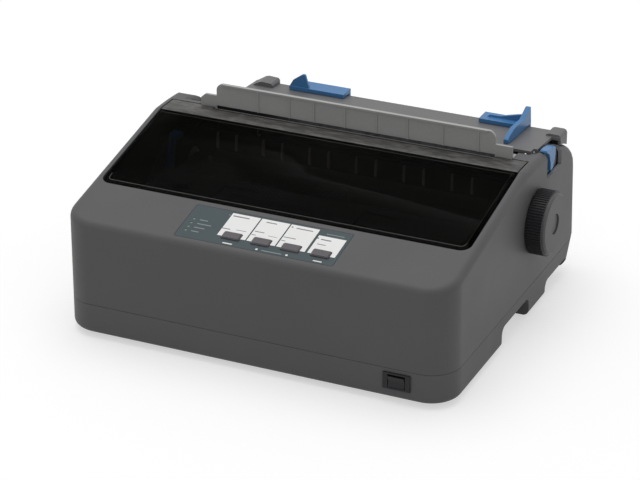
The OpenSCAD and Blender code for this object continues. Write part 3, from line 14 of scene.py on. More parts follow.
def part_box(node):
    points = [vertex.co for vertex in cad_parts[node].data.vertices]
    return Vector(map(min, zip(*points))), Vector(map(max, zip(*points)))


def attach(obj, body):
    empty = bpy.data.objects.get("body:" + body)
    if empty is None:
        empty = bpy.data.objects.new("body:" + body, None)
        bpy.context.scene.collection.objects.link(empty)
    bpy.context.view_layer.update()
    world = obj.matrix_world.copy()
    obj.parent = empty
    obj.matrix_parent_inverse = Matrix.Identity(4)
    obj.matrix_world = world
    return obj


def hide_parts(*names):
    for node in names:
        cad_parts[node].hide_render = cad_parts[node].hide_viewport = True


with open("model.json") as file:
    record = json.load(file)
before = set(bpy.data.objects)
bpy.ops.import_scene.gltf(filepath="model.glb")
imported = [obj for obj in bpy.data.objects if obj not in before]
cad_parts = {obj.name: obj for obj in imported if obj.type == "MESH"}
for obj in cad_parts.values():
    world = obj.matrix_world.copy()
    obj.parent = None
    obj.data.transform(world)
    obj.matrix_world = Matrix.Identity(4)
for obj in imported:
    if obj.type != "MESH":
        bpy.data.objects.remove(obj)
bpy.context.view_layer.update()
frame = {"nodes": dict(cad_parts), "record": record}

MM = 0.001
BODY = {node: body for body, nodes in frame["record"]["behaviour"]["bodies"].items() for node in nodes}

# The case's middle plane and its front, from the lower case's box
CASE_LOW, CASE_HIGH = (Vector(corner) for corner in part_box("lower_case"))
MIDDLE_X = (CASE_LOW.x + CASE_HIGH.x) / 2
FRONT_Y = CASE_LOW.y

# The sloping top, in degrees, and its height over the front edge
TOP_SLOPE = 11.5
TOP_FRONT_Z = 101


def at(x, y, z):
    """A place in the object's frame, in metres, from millimetres off the case's front middle."""
    return Vector((MIDDLE_X + x * MM, FRONT_Y + y * MM, z * MM))


# ---------------------------------------------------------------- selecting and editing

def only(piece):
    """Selects one piece and nothing else."""
    if bpy.context.object and bpy.context.object.mode != "OBJECT":
        bpy.ops.object.mode_set(mode="OBJECT")
    bpy.ops.object.select_all(action="DESELECT")
    piece.select_set(True)
    bpy.context.view_layer.objects.active = piece


def edit(piece, mode="FACE"):
    """Opens one piece in edit mode with nothing selected."""
    only(piece)
    bpy.ops.object.mode_set(mode="EDIT")
    bpy.ops.mesh.select_mode(type=mode)
    bpy.ops.mesh.select_all(action="DESELECT")


def pick_faces(piece, test):
    """In edit mode, selects the faces whose middle and normal pass the test."""
    bpy.ops.object.mode_set(mode="OBJECT")
    for face in piece.data.polygons:
        face.select = test(face.center, face.normal)
    bpy.ops.object.mode_set(mode="EDIT")


def pick_edges(piece, test):
    """In edit mode, selects the edges whose two ends pass the test."""
    bpy.ops.object.mode_set(mode="OBJECT")
    points = piece.data.vertices
    for edge in piece.data.edges:
        edge.select = test(points[edge.vertices[0]].co, points[edge.vertices[1]].co)
    bpy.ops.object.mode_set(mode="EDIT")


def close(piece):
    """Back to object mode."""
    bpy.ops.object.mode_set(mode="OBJECT")
    return piece


def modify(piece, kind, **settings):
    """Adds a modifier and applies it."""
    only(piece)
    modifier = piece.modifiers.new(kind.title(), kind)
    for name, value in settings.items():
        setattr(modifier, name, value)
    bpy.ops.object.modifier_apply(modifier=modifier.name)


def soften(piece, bevel, angle=35, segments=2):
    """Rounds the sharp edges by bevel millimetres and smooths what is left."""
    if bevel:
        modify(piece, "BEVEL", width=bevel * MM, segments=segments, limit_method="ANGLE",
               angle_limit=radians(angle), use_clamp_overlap=True)
    only(piece)
    bpy.ops.object.shade_smooth_by_angle(angle=radians(angle))
    modify(piece, "WEIGHTED_NORMAL", keep_sharp=True)


def finish(piece, body, slot, *finishes):
    """Gives a finished piece its materials and the body that it rides on; the slot argument is not used."""
    only(piece)
    bpy.ops.object.transform_apply(location=True, rotation=True, scale=True)
    if finishes:
        piece.data.materials.clear()
        for material in finishes:
            piece.data.materials.append(material)
    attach(piece, body)
    return piece


def inside(place, low, high):
    """Whether a place lies between two corners."""
    return all(low[i] < place[i] < high[i] for i in range(3))


def paint(piece, index, test):
    """Gives the faces that pass the test the material with that index."""
    for face in piece.data.polygons:
        if test(face.center, face.normal):
            face.material_index = index


RECORD_SLOT = {part["node"]: part["material_slot"] for part in frame["record"]["subparts"]}


def dress(node, *finishes, bevel=0.3, angle=35):
    """A finished stand-in for a solid: its mesh merged, its flat faces joined and its edges rounded off."""
    piece = bpy.data.objects.new(node + "_finished", frame["nodes"][node].data.copy())
    bpy.context.scene.collection.objects.link(piece)
    edit(piece, "VERT")
    bpy.ops.mesh.select_all(action="SELECT")
    bpy.ops.mesh.remove_doubles(threshold=0.002 * MM)
    bpy.ops.mesh.dissolve_limited(angle_limit=radians(0.2))
    close(piece)
    soften(piece, bevel, angle)
    finish(piece, BODY[node], RECORD_SLOT[node], *finishes)
    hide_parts(node)
    return piece


# ---------------------------------------------------------------- materials

def srgb(code):
    """The linear colour of an sRGB hex code."""
    parts = [int(code[i:i + 2], 16) / 255 for i in (1, 3, 5)]
    return [p / 12.92 if p <= 0.04045 else ((p + 0.055) / 1.055) ** 2.4 for p in parts] + [1]


def per_mm(size):
    """The scale of a pattern whose features are that many millimetres apart."""
    return 1 / (size * MM)


def new_material(name):
    """A material with an empty tree."""
    material = bpy.data.materials.new(name)
    material.use_nodes = True
    material.node_tree.nodes.clear()
    return material, material.node_tree


def add(tree, kind, values=None, links=None, **settings):
    """Adds a shader node with its settings, its sockets' values and the outputs linked to its sockets."""
    node = tree.nodes.new("ShaderNode" + kind)
    for name, value in settings.items():
        setattr(node, name, value)
    for socket, value in (values or {}).items():
        node.inputs[socket].default_value = value
    for socket, source in (links or {}).items():
        tree.links.new(source, node.inputs[socket])
    return node


def surface(material, tree, links, **values):
    """Ends a material with its surface shader."""
    values = {name.replace("_", " "): value for name, value in values.items()}
    shader = add(tree, "BsdfPrincipled", values, links)
    add(tree, "OutputMaterial", links={"Surface": shader.outputs[0]})
    return material


def moulded(name, colour, second, roughness, grain=0.8, depth=0.02, shine=0.3, **values):
    """Injection-moulded plastic from a spark-eroded mould: a fine even grain, and colour and gloss that
    wander a little over the piece. The real grain is about 0.1 mm; it is drawn coarser, so that it shows."""
    material, tree = new_material(name)
    place = add(tree, "TexCoord").outputs["Object"]
    fine = add(tree, "TexNoise", {"Scale": per_mm(grain), "Detail": 3, "Roughness": 0.6}, {"Vector": place})
    broad = add(tree, "TexNoise", {"Scale": per_mm(55), "Detail": 2}, {"Vector": place})
    blend = add(tree, "Mix", {6: srgb(colour), 7: srgb(second)}, {0: broad.outputs["Fac"]}, data_type="RGBA")
    speck = add(tree, "MapRange", {"From Min": 0.3, "From Max": 0.7, "To Min": 0.94, "To Max": 1.06},
                {"Value": fine.outputs["Fac"]})
    tone = add(tree, "VectorMath", links={0: blend.outputs[2], 1: speck.outputs[0]}, operation="MULTIPLY")
    gloss = add(tree, "MapRange", {"To Min": roughness - 0.06, "To Max": roughness + 0.06},
                {"Value": broad.outputs["Fac"]})
    bump = add(tree, "Bump", {"Strength": 0.35, "Distance": depth * MM}, {"Height": fine.outputs["Fac"]})
    return surface(material, tree, {"Base Color": tone.outputs[0], "Roughness": gloss.outputs[0],
                                    "Normal": bump.outputs[0]}, Specular_IOR_Level=shine, **values)


def brushed(name, colour, second, roughness, axis, line=0.25):
    """Metal worked in one direction: long fine lines along an axis, which streak its gloss."""
    material, tree = new_material(name)
    place = add(tree, "TexCoord").outputs["Object"]
    stretch = [per_mm(line)] * 3
    stretch["XYZ".index(axis)] = per_mm(line * 60)
    lines = add(tree, "Mapping", {"Scale": stretch}, {"Vector": place})
    streak = add(tree, "TexNoise", {"Scale": 1, "Detail": 2}, {"Vector": lines.outputs[0]})
    blend = add(tree, "Mix", {6: srgb(colour), 7: srgb(second)}, {0: streak.outputs["Fac"]},
                data_type="RGBA")
    gloss = add(tree, "MapRange", {"To Min": roughness - 0.1, "To Max": roughness + 0.12},
                {"Value": streak.outputs["Fac"]})
    bump = add(tree, "Bump", {"Strength": 0.2, "Distance": 0.01 * MM}, {"Height": streak.outputs["Fac"]})
    return surface(material, tree, {"Base Color": blend.outputs[2], "Roughness": gloss.outputs[0],
                                    "Normal": bump.outputs[0]}, Metallic=1)


def spangled_zinc():
    """Zinc-plated pressed sheet: pale grey metal with faint crystal patches about 9 mm across."""
    material, tree = new_material("zinc_plated_sheet")
    place = add(tree, "TexCoord").outputs["Object"]
    patch = add(tree, "TexVoronoi", {"Scale": per_mm(9)}, {"Vector": place})
    fine = add(tree, "TexNoise", {"Scale": per_mm(1.5), "Detail": 3}, {"Vector": place})
    grey = add(tree, "Mix", {6: srgb("#b4b8ba"), 7: srgb("#9ea3a6")}, {0: patch.outputs["Distance"]},
               data_type="RGBA")
    gloss = add(tree, "MapRange", {"To Min": 0.3, "To Max": 0.48}, {"Value": fine.outputs["Fac"]})
    bump = add(tree, "Bump", {"Strength": 0.1, "Distance": 0.02 * MM}, {"Height": fine.outputs["Fac"]})
    return surface(material, tree, {"Base Color": grey.outputs[2], "Roughness": gloss.outputs[0],
                                    "Normal": bump.outputs[0]}, Metallic=1)


def ground_rubber(name, colour, second, line, axis):
    """Ground rubber: matt black with faint grinding lines round the piece."""
    material, tree = new_material(name)
    place = add(tree, "TexCoord").outputs["Object"]
    stretch = [per_mm(12)] * 3
    stretch["XYZ".index(axis)] = per_mm(line)
    rings = add(tree, "Mapping", {"Scale": stretch}, {"Vector": place})
    grind = add(tree, "TexNoise", {"Scale": 1, "Detail": 3}, {"Vector": rings.outputs[0]})
    blend = add(tree, "Mix", {6: srgb(colour), 7: srgb(second)}, {0: grind.outputs["Fac"]}, data_type="RGBA")
    gloss = add(tree, "MapRange", {"To Min": 0.62, "To Max": 0.82}, {"Value": grind.outputs["Fac"]})
    bump = add(tree, "Bump", {"Strength": 0.3, "Distance": 0.03 * MM}, {"Height": grind.outputs["Fac"]})
    return surface(material, tree, {"Base Color": blend.outputs[2], "Roughness": gloss.outputs[0],
                                    "Normal": bump.outputs[0]})


def smoked_polycarbonate():
    """Smoked clear polycarbonate, moulded against polished steel: near black and glossy, with the ribs
    under it just showing, and a few hair scratches from handling."""
    material, tree = new_material("smoked_polycarbonate")
    place = add(tree, "TexCoord").outputs["Object"]
    wave = add(tree, "TexNoise", {"Scale": per_mm(45), "Detail": 1}, {"Vector": place})
    long_way = add(tree, "Mapping", {"Scale": (per_mm(40), per_mm(0.7), per_mm(0.7)),
                                     "Rotation": (0, 0, radians(17))}, {"Vector": place})
    hair = add(tree, "TexNoise", {"Scale": 1, "Detail": 2}, {"Vector": long_way.outputs[0]})
    gloss = add(tree, "MapRange", {"From Min": 0.6, "From Max": 0.75, "To Min": 0.09, "To Max": 0.2},
                {"Value": hair.outputs["Fac"]})
    tint = add(tree, "Mix", {6: srgb("#080807"), 7: srgb("#0f0e0c")}, {0: wave.outputs["Fac"]},
               data_type="RGBA")
    bump = add(tree, "Bump", {"Strength": 0.05, "Distance": 0.05 * MM}, {"Height": wave.outputs["Fac"]})
    return surface(material, tree, {"Base Color": tint.outputs[2], "Roughness": gloss.outputs[0],
                                    "Normal": bump.outputs[0]},
                   Alpha=0.62, IOR=1.58, Specular_IOR_Level=0.008)


def textured_strip():
    """The cover's rear strip, moulded with a coarse texture: matt and brown-grey, with pale flecks that
    run along the strip."""
    material, tree = new_material("textured_polycarbonate")
    place = add(tree, "TexCoord").outputs["Object"]
    long_way = add(tree, "Mapping", {"Scale": (per_mm(9), per_mm(2.5), per_mm(4))}, {"Vector": place})
    fleck = add(tree, "TexNoise", {"Scale": 1, "Detail": 4, "Roughness": 0.62}, {"Vector": long_way.outputs[0]})
    share = add(tree, "MapRange", {"From Min": 0.42, "From Max": 0.72}, {"Value": fleck.outputs["Fac"]})
    tone = add(tree, "Mix", {6: srgb("#2a2927"), 7: srgb("#5c5b59")}, {0: share.outputs[0]}, data_type="RGBA")
    bump = add(tree, "Bump", {"Strength": 0.4, "Distance": 0.12 * MM}, {"Height": fleck.outputs["Fac"]})
    return surface(material, tree, {"Base Color": tone.outputs[2], "Normal": bump.outputs[0]}, Roughness=0.5)


def circuit_board(name, lacquer, track, ground):
    """Lacquered circuit board: darker ground, and paler tracks 1.3 mm apart that turn at right angles."""
    material, tree = new_material(name)
    place = add(tree, "TexCoord").outputs["Object"]
    bricks = add(tree, "TexBrick", {"Scale": 1, "Mortar Size": 0.12, "Brick Width": 9.0, "Row Height": 1.3,
                                    "Color1": srgb(lacquer), "Color2": srgb(ground), "Mortar": srgb(track)},
                 {"Vector": add(tree, "Mapping", {"Scale": (1 / MM, 1 / MM, 1 / MM)},
                                {"Vector": place}).outputs[0]})
    cloud = add(tree, "TexNoise", {"Scale": per_mm(14), "Detail": 2}, {"Vector": place})
    gloss = add(tree, "MapRange", {"To Min": 0.25, "To Max": 0.45}, {"Value": cloud.outputs["Fac"]})
    bump = add(tree, "Bump", {"Strength": 0.4, "Distance": 0.05 * MM}, {"Height": bricks.outputs["Fac"]})
    return surface(material, tree, {"Base Color": bricks.outputs["Color"], "Roughness": gloss.outputs[0],
                                    "Normal": bump.outputs[0]})


def printed_film(name, colour, second, roughness):
    """Back-printed polyester film: an even satin colour with a very faint orange peel and handling marks."""
    material, tree = new_material(name)
    place = add(tree, "TexCoord").outputs["Object"]
    peel = add(tree, "TexNoise", {"Scale": per_mm(2.2), "Detail": 2}, {"Vector": place})
    cloud = add(tree, "TexNoise", {"Scale": per_mm(24), "Detail": 3}, {"Vector": place})
    tone = add(tree, "Mix", {6: srgb(colour), 7: srgb(second)}, {0: cloud.outputs["Fac"]}, data_type="RGBA")
    gloss = add(tree, "MapRange", {"To Min": roughness - 0.05, "To Max": roughness + 0.1},
                {"Value": cloud.outputs["Fac"]})
    bump = add(tree, "Bump", {"Strength": 0.12, "Distance": 0.03 * MM}, {"Height": peel.outputs["Fac"]})
    return surface(material, tree, {"Base Color": tone.outputs[2], "Roughness": gloss.outputs[0],
                                    "Normal": bump.outputs[0]}, Specular_IOR_Level=0.3)


def groove_shade_paint():
    """Painted shade in the bar's groove: near black at its left end, fading in patches to grey towards the
    right.
    """
    material, tree = new_material("painted_groove_shade")
    place = add(tree, "TexCoord").outputs["Object"]
    across = add(tree, "SeparateXYZ", links={0: place})
    fade_rightwards = add(tree, "MapRange", {"From Min": at(-75, 0, 0).x, "From Max": at(-30, 0, 0).x},
               {"Value": across.outputs["X"]})
    patchy = add(tree, "TexNoise", {"Scale": per_mm(6), "Detail": 3}, {"Vector": place})
    share = add(tree, "Math", links={0: fade_rightwards.outputs[0], 1: patchy.outputs["Fac"]}, operation="MULTIPLY")
    tone = add(tree, "Mix", {6: srgb("#0c0c0c"), 7: srgb("#77777a")}, {0: share.outputs[0]}, data_type="RGBA")
    return surface(material, tree, {"Base Color": tone.outputs[2]}, Roughness=0.6, Specular_IOR_Level=0.3)


def inked_ribbon():
    """Woven nylon ribbon soaked in black ink: threads 0.5 mm apart both ways, with a slight sheen."""
    material, tree = new_material("inked_nylon_ribbon")
    place = add(tree, "TexCoord").outputs["Object"]
    across = add(tree, "TexWave", {"Scale": per_mm(3.2), "Distortion": 0.4}, {"Vector": place},
                 bands_direction="X")
    along = add(tree, "TexWave", {"Scale": per_mm(3.2), "Distortion": 0.4}, {"Vector": place},
                bands_direction="Z")
    weave = add(tree, "Math", links={0: across.outputs["Fac"], 1: along.outputs["Fac"]}, operation="MULTIPLY")
    tone = add(tree, "Mix", {6: srgb("#09090b"), 7: srgb("#1b1b20")}, {0: weave.outputs[0]}, data_type="RGBA")
    bump = add(tree, "Bump", {"Strength": 0.5, "Distance": 0.05 * MM}, {"Height": weave.outputs[0]})
    return surface(material, tree, {"Base Color": tone.outputs[2], "Normal": bump.outputs[0]}, Roughness=0.55)


def light_pipe():
    """Clear acrylic rod over a lamp that is off: pale green, glossy, clearer in the middle."""
    material, tree = new_material("clear_light_pipe")
    place = add(tree, "TexCoord").outputs["Object"]
    cloud = add(tree, "TexNoise", {"Scale": per_mm(1.2), "Detail": 1}, {"Vector": place})
    tone = add(tree, "Mix", {6: srgb("#7f9a88"), 7: srgb("#5d7568")}, {0: cloud.outputs["Fac"]},
               data_type="RGBA")
    return surface(material, tree, {"Base Color": tone.outputs[2]}, Roughness=0.12, IOR=1.49)


CASE_ABS = moulded("grey_abs", "#585859", "#545456", 0.52)
LOWER_ABS = moulded("grey_abs_lower", "#5a5a5b", "#565658", 0.55)
GUIDE_ABS = moulded("grey_abs_guide", "#6f6f70", "#686869", 0.5)
BAR_ABS = moulded("satin_grey_abs", "#a6a6a5", "#9e9e9d", 0.4, depth=0.01)
# A paler copy of the bar's grey: a painted highlight for the bar's top face
BAR_TOP_HIGHLIGHT = moulded("pale_grey_abs_painted_highlight", "#b2b2b0", "#a5a5a3", 0.35, depth=0.01)
BUTTON_ABS = moulded("satin_button_abs", "#5f5b5f", "#585458", 0.4, depth=0.01)
# A paler copy of the case's grey, painted on the lever's slot walls and fender to lift the shade in that recess
SHADE_LIFT_ABS = moulded("grey_abs_lightened_against_shade", "#8e8e8f", "#868688", 0.45, depth=0.01)
BLACK_ABS = moulded("black_abs", "#232326", "#1b1b1e", 0.45)
BLUE_POM = moulded("blue_acetal", "#4a80b4", "#4277aa", 0.36, depth=0.01)
NATURAL_NYLON = moulded("natural_nylon", "#e2dfd4", "#d6d2c5", 0.42, depth=0.01)
CAST_ALLOY = moulded("black_cast_alloy", "#2e2e31", "#3b3b3f", 0.5, grain=1.2, depth=0.05, Metallic=0.4)
BLACK_SHEET = moulded("black_coated_sheet", "#1f1f21", "#29292c", 0.55, grain=1, depth=0.03, Metallic=0.2)
GROUND_STEEL = brushed("ground_steel", "#b9bcc0", "#9da1a6", 0.26, "X")
PLATED_SHELL = brushed("plated_steel_shell", "#c6c9cc", "#adb1b5", 0.28, "Y")
MOTOR_CAN = brushed("motor_steel_can", "#8e9196", "#7c7f84", 0.38, "Z")
ZINC_SHEET = spangled_zinc()
PLATEN_RUBBER = ground_rubber("ground_platen_rubber", "#161617", "#232325", 0.6, "X")
FOOT_RUBBER = ground_rubber("foot_rubber", "#1a1a1b", "#262628", 3, "Z")
BELT_RUBBER = ground_rubber("belt_rubber", "#141416", "#202023", 1.5, "X")
SMOKED = smoked_polycarbonate()
STRIP = textured_strip()
MAIN_LACQUER = circuit_board("green_board", "#2c5a3b", "#3f7650", "#28523a")
SUPPLY_LACQUER = circuit_board("brown_board", "#8d7a4d", "#a38e5c", "#85734a")
TEAL_FILM = printed_film("teal_film", "#3d4b50", "#394649", 0.42)
WHITE_FILM = printed_film("white_film", "#f7f7f6", "#f0f0ef", 0.42)
# A pale grey painted as a highlight line on the flat cover, where a moulded step would catch the light
STEP_HIGHLIGHT = printed_film("painted_step_highlight", "#4a4a48", "#3a3a38", 0.3)
MARK_INK = printed_film("grey_ink", "#8d989b", "#7f8a8d", 0.45)
CELL_INK = printed_film("dark_grey_ink", "#8b8b8c", "#7c7c7e", 0.5)
DOT_INK = printed_film("white_ink", "#f2f2f0", "#e9e9e7", 0.45)
# Painted shade for the groove along the bar's foot
GROOVE_SHADE = groove_shade_paint()
RIBBON_CLOTH = inked_ribbon()
LIGHT_PIPE = light_pipe()

# ---------------------------------------------------------------- the case and what is fixed to it

# The upper case: the walls of the release lever's slot are painted a paler grey, up to a level just under its
# rim, as painted light against the shade in the slot, and the notch at the cover's left hinge is painted black
# inside as painted shade
LEVER_SLOT = at(157, 205, 108.8), at(164.6, 239.6, 134)
SLOT_RIM_Z = 132.5
HINGE_NOTCH = at(-141.4, 186, 112), at(-131, 206, 133.4)
CASE_BEVEL, CASE_ANGLE = 0.25, 40
upper = dress("upper_case", CASE_ABS, SHADE_LIFT_ABS, BLACK_ABS, bevel=CASE_BEVEL, angle=CASE_ANGLE)
# Painted shade: the hinge notch's faces are painted black
paint(upper, 2, lambda centre, normal: inside(centre, *HINGE_NOTCH))
# Painted light: the slot's walls up to SLOT_RIM_Z get the paler grey, against their shade
paint(upper, 1, lambda centre, normal: inside(centre, *LEVER_SLOT) and centre.z < SLOT_RIM_Z * MM
      and (abs(normal.y) > 0.9 or normal.z > 0.95 or normal.x > 0.9))
dress("lower_case", LOWER_ABS, bevel=CASE_BEVEL, angle=CASE_ANGLE)
dress("rubber_feet", FOOT_RUBBER)
dress("case_screws", GROUND_STEEL, bevel=0.1)
dress("switch_bezel", BLACK_ABS, bevel=0.3)
dress("power_rocker", BLACK_ABS, bevel=0.3)
for index in range(1, 5):
    dress("button_%d" % index, BUTTON_ABS, bevel=0.35)

# The cover's clear part ends at STRIP_PLACE; behind it the moulding is textured
STRIP_PLACE = at(0, 159.4, 0)
cover = dress("printer_cover", SMOKED, STRIP, STEP_HIGHLIGHT, bevel=0.6)
edit(cover)
bpy.ops.mesh.select_all(action="SELECT")
bpy.ops.mesh.bisect(plane_co=STRIP_PLACE, plane_no=(0, 1, 0))
close(cover)
paint(cover, 1, lambda centre, normal: centre.y > STRIP_PLACE.y)

# A pale line, a painted highlight standing for a fine moulded step, runs round the clear part inside its edge
STEP_INSET, STEP_WIDTH = 3.4, 0.45
edit(cover)
pick_faces(cover, lambda centre, normal: normal.z > 0.9 and centre.y < STRIP_PLACE.y)
for inset, slot_index in ((STEP_INSET, 2), (STEP_WIDTH, 0)):
    bpy.ops.mesh.inset(thickness=inset * MM, depth=0, use_boundary=True, use_even_offset=True)
    cover.active_material_index = slot_index
    bpy.ops.object.material_slot_assign()
close(cover)

# The bar's top face has a painted highlight in a paler grey, and the groove along its foot is painted dark as
# shade
BAR_TOP_Z = 153.6
GROOVE = at(-94, 181.1, 131.4), at(106, 184.5, 134.7)
bar = dress("tear_off_bar", BAR_ABS, BAR_TOP_HIGHLIGHT, GROOVE_SHADE, bevel=0.3)
# Painted highlight on the bar's upward-facing top faces
paint(bar, 1, lambda centre, normal: centre.z > BAR_TOP_Z * MM and normal.z > 0.5)
# Painted shade: the groove's faces get the dark, rightward-fading colour
paint(bar, 2, lambda centre, normal: inside(centre, *GROOVE))
dress("paper_guide", GUIDE_ABS, bevel=0.5)
for side in ("left", "right"):
    dress("edge_guide_" + side, BLUE_POM, bevel=0.5)

# The release lever is blue; its fender, which shuts the slot round the lever's blade, is painted paler than the
# case against the shade in its recess
FENDER_CORNER = at(161, 0, 96)
BLADE_FRONT, BLADE_REAR, BLADE_FOOT_Z = at(0, 206, 0), at(0, 226.5, 0), 127
lever = dress("release_lever", BLUE_POM, SHADE_LIFT_ABS, bevel=0.5)
paint(lever, 1, lambda centre, normal: centre.x < FENDER_CORNER.x and centre.z > FENDER_CORNER.z
      and not (BLADE_FRONT.y <= centre.y <= BLADE_REAR.y and centre.z >= BLADE_FOOT_Z * MM))
dress("thickness_lever", BLUE_POM, bevel=0.4)

# The panel's film, with its four white label cells 0.2 mm proud of it
SLOPE = radians(TOP_SLOPE)
TOP_NORMAL = Vector((0, -sin(SLOPE), cos(SLOPE)))


def on_panel(across, up, height):
    """A place on the sloping top: across from its middle, up the slope from its front edge, and over it."""
    return at(across, up * cos(SLOPE) - height * sin(SLOPE),
              TOP_FRONT_Z + up * sin(SLOPE) + height * cos(SLOPE))


film = dress("panel_overlay", TEAL_FILM, WHITE_FILM, bevel=0)
FILM_LEVEL = on_panel(0, 0, 0.1).dot(TOP_NORMAL)
paint(film, 1, lambda centre, normal: centre.dot(TOP_NORMAL) > FILM_LEVEL and normal.dot(TOP_NORMAL) > 0.9)

INK_HEIGHT = 0.05
CELL_HEIGHT = 0.2
ROUND_SHARE = 0.3


def ink_patch(across, up, height, width, length, corner):
    """One patch of ink on the panel: a very thin plate with round corners."""
    bpy.ops.object.select_all(action="DESELECT")
    bpy.ops.mesh.primitive_cube_add(size=1, location=on_panel(across, up, height), rotation=(SLOPE, 0, 0),
                                    scale=(width * MM, length * MM, INK_HEIGHT * MM))
    patch = bpy.context.object
    bpy.ops.object.transform_apply(location=False, rotation=False, scale=True)
    edit(patch, "EDGE")
    pick_edges(patch, lambda start, end: abs(start.z - end.z) > INK_HEIGHT * MM / 2)
    bpy.ops.mesh.bevel(offset=corner * MM, segments=4, affect="EDGES")
    return close(patch)


def ink_marks(name, height, ink, patches):
    """The panel's marks in one ink: plain bars and dots, each given as across, up, width, length."""
    marks = [ink_patch(across, up, height, width, length, min(width, length) * ROUND_SHARE)
             for across, up, width, length in patches]
    bpy.ops.object.select_all(action="DESELECT")
    for mark in marks:
        mark.select_set(True)
    bpy.context.view_layer.objects.active = marks[0]
    bpy.ops.object.join()
    marks[0].name = name
    return finish(marks[0], BODY["panel_overlay"], RECORD_SLOT["panel_overlay"], ink)


ink_marks("film_marks", 0, MARK_INK, (
    (-53, 31, 7, 1), (-50.4, 26, 12, 1), (-52.2, 21, 9, 1), (-53.5, 16, 6.4, 1),
    (14.8, 9.2, 16.5, 1), (53.6, 43.4, 15, 0.8)))
ink_marks("film_bright_marks", 0, DOT_INK, (
    (-22.6, 9.4, 8.2, 1.3), (2.3, 9.4, 1.9, 1.9), (27.6, 9.4, 1.9, 1.9), (53.2, 9.4, 7.4, 1.2)))
ink_marks("cell_marks", CELL_HEIGHT, CELL_INK, (
    (-36.3, 43.5, 1.5, 1.5), (-26.4, 43.3, 14, 1.3), (-31.8, 26.4, 7.6, 1), (-19, 27.2, 8.4, 0.6),
    (-0.4, 43.3, 9.2, 1.1), (-4.6, 30, 8.2, 0.9), (-7.6, 25.4, 3.6, 0.8), (7.6, 27.4, 7.6, 0.5),
    (17.2, 43.5, 1.5, 1.5), (27.8, 43, 14, 1.1), (21, 30, 10.4, 0.9), (17.6, 25.4, 3.4, 0.8),
    (42, 36.4, 1.5, 1.5), (49, 35.6, 8.6, 1.3), (47.8, 29.4, 7.2, 0.9)))

# The platen's knob: grey, with a black knurled rim
KNOB_AXIS = at(0, 181, 84)
KNOB_RIM_R = 25.2
knob = dress("platen_knob", CASE_ABS, BLACK_ABS, bevel=0.2)
paint(knob, 1, lambda centre, normal: abs(normal.x) < 0.6
      and (centre - KNOB_AXIS).yz.length > KNOB_RIM_R * MM)

for node, material, bevel in (
        ("cover_hinge_pins", BLACK_ABS, 0.2),
        ("paper_guide_rod", GROUND_STEEL, 0.2),
        ("panel_board", MAIN_LACQUER, 0.1),
        ("panel_lights", LIGHT_PIPE, 0.1),
        ("chassis_tray", ZINC_SHEET, 0.2),
        ("side_plate_left", BLACK_SHEET, 0.2),
        ("side_plate_right", BLACK_SHEET, 0.2),
        ("platen_roller", PLATEN_RUBBER, 0.3),
        ("platen_shaft", GROUND_STEEL, 0.3),
        ("platen_bushings", NATURAL_NYLON, 0.2),
        ("platen_gear", NATURAL_NYLON, 0.15),
        ("feed_motor", MOTOR_CAN, 0.6),
        ("feed_pinion", GROUND_STEEL, 0.1),
        ("idler_gear", NATURAL_NYLON, 0.15),
        ("tractor_gear", NATURAL_NYLON, 0.15),
        ("tractor_shaft", GROUND_STEEL, 0.3),
        ("tractor_rail", GROUND_STEEL, 0.3),
        ("tractor_left", BLACK_ABS, 0.4),
        ("tractor_right", BLACK_ABS, 0.4),
        ("sprocket_left", NATURAL_NYLON, 0.15),
        ("sprocket_right", NATURAL_NYLON, 0.15),
        ("tractor_flap_left", BLACK_ABS, 0.3),
        ("tractor_flap_right", BLACK_ABS, 0.3),
        ("pinch_rollers", FOOT_RUBBER, 0.3),
        ("paper_chute", BLACK_ABS, 0.3),
        ("carriage_rod", GROUND_STEEL, 0.3),
        ("carriage_rail", ZINC_SHEET, 0.2),
        ("carriage", BLACK_ABS, 0.5),
        ("print_head", CAST_ALLOY, 0.3),
        ("carriage_belt", BELT_RUBBER, 0.1),
        ("drive_pulley", NATURAL_NYLON, 0.2),
        ("idler_pulley", NATURAL_NYLON, 0.2),
        ("carriage_motor", MOTOR_CAN, 0.6),
        ("ribbon_cartridge", BLACK_ABS, 0.6),
        ("ribbon", RIBBON_CLOTH, 0),
        ("ribbon_knob", BLACK_ABS, 0.2),
        ("main_board", MAIN_LACQUER, 0.15),
        ("power_supply", SUPPLY_LACQUER, 0.3),
        ("mains_inlet", BLACK_ABS, 0.3)):
    dress(node, material, bevel=bevel)

# The comb's upright ribs have their front faces painted pale as a painted highlight, so that they show through
# the cover
RIB_REAR = at(0, 162.95, 0)
comb = dress("paper_comb", BLACK_ABS, NATURAL_NYLON, bevel=0.2)
paint(comb, 1, lambda centre, normal: centre.y < RIB_REAR.y)

# The rear sockets: plated shells with black bodies inside them
SHELL_DEPTH = 1
SOCKET_REAR_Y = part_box("rear_sockets")[1][1]
sockets = dress("rear_sockets", PLATED_SHELL, BLACK_ABS, bevel=0.3)
paint(sockets, 1, lambda centre, normal: normal.y > 0.9 and centre.y < SOCKET_REAR_Y - SHELL_DEPTH * MM)

# ---------------------------------------------------------------- camera, floor and light

# The middle of the object, which the camera and the lamp are set by
AIM = at(0, 137, 60)

# The camera's place round it in degrees, its distance and its offset to the left and down, and its lens
AZIMUTH, ELEVATION, ROLL = 24.634, 25.861, -0.269
DISTANCE, LEFTWARDS, DOWNWARDS = 2116.5, 2.71, 5.69
LENS = 147.16

# The lamp's place, its side in metres and its power in watts, and the surround's strength as light
LAMP_PLACE = at(-150, 300, 1900)
LAMP_SIZE, LAMP_POWER = 1.6, 15
SURROUND = 0.5

# The floor as the camera sees it: what it sends back of the light, and its own glow
FLOOR_GREY, FLOOR_GLOW = 0.58, 0.54
FLOOR_SIZE = 14


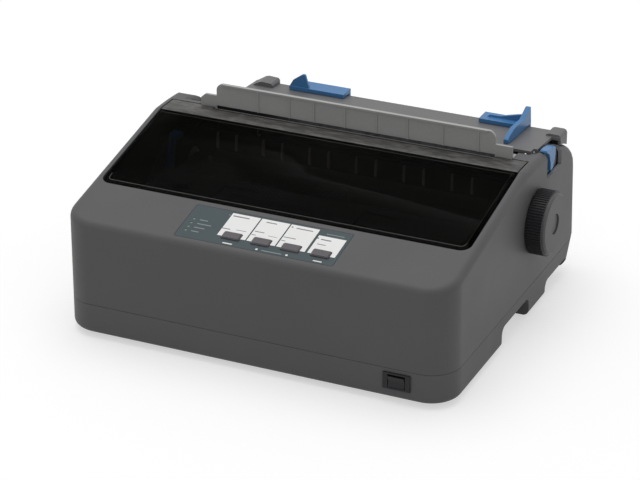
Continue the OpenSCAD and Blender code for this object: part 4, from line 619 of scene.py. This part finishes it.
def photo_camera():
    """The camera at the photograph's place and angle."""
    level = Matrix.Rotation(radians(AZIMUTH), 3, "Z") @ Matrix.Rotation(radians(90 - ELEVATION), 3, "X")
    turn = level @ Matrix.Rotation(radians(ROLL), 3, "Z")
    place = AIM + level @ Vector((-LEFTWARDS * MM, -DOWNWARDS * MM, DISTANCE * MM))
    bpy.ops.object.camera_add(location=place, rotation=turn.to_euler())
    camera = bpy.context.object
    camera.name = "photo_camera"
    camera.data.lens = LENS
    camera.data.sensor_width = 36
    camera.data.clip_start = 0.05
    camera.data.clip_end = 30
    bpy.context.scene.camera = camera


def seen_or_mirrored(tree):
    """An output that is 1 for what is seen, mirrored or seen through, and 0 for light on the object."""
    path = add(tree, "LightPath")
    seen = add(tree, "Math", links={0: path.outputs["Is Camera Ray"], 1: path.outputs["Is Glossy Ray"]},
               operation="MAXIMUM")
    seen = add(tree, "Math", links={0: seen.outputs[0], 1: path.outputs["Is Transmission Ray"]},
               operation="MAXIMUM")
    return seen.outputs[0]


def white_floor():
    """A white floor: the camera sees it near white with the object's soft shadow, and it throws a plain
    pale light back at the object."""
    bpy.ops.mesh.primitive_plane_add(size=FLOOR_SIZE, location=(0, 2, 0))
    floor = bpy.context.object
    floor.name = "floor"
    material, tree = new_material("white_floor")
    paper = add(tree, "BsdfDiffuse", {"Color": (0.8, 0.8, 0.8, 1)})
    shade = add(tree, "BsdfDiffuse", {"Color": (FLOOR_GREY, FLOOR_GREY, FLOOR_GREY, 1)})
    glow = add(tree, "Emission", {"Color": (1, 1, 1, 1), "Strength": FLOOR_GLOW})
    pale = add(tree, "AddShader", links={0: shade.outputs[0], 1: glow.outputs[0]})
    mix = add(tree, "MixShader", links={0: seen_or_mirrored(tree), 1: paper.outputs[0], 2: pale.outputs[0]})
    add(tree, "OutputMaterial", links={"Surface": mix.outputs[0]})
    floor.data.materials.append(material)


def pale_world():
    """A white surround: full white where it is seen or mirrored, and dimmer as light on the object."""
    world = bpy.data.worlds.new("pale_surround")
    world.use_nodes = True
    tree = world.node_tree
    tree.nodes.clear()
    strength = add(tree, "MapRange", {"To Min": SURROUND, "To Max": 1}, {"Value": seen_or_mirrored(tree)})
    ground = add(tree, "Background", {"Color": (1, 1, 1, 1)}, {"Strength": strength.outputs[0]})
    add(tree, "OutputWorld", links={"Surface": ground.outputs[0]})
    bpy.context.scene.world = world


def soft_light():
    """A large square lamp high over the object and a little to its left, pointed at its middle."""
    bpy.ops.object.light_add(type="AREA", location=LAMP_PLACE)
    lamp = bpy.context.object
    lamp.name = "top_light"
    lamp.rotation_euler = (AIM - LAMP_PLACE).to_track_quat("-Z", "Y").to_euler()
    lamp.data.size = LAMP_SIZE
    lamp.data.energy = LAMP_POWER


bpy.context.scene.view_settings.view_transform = "Standard"
photo_camera()
white_floor()
pale_world()
soft_light()
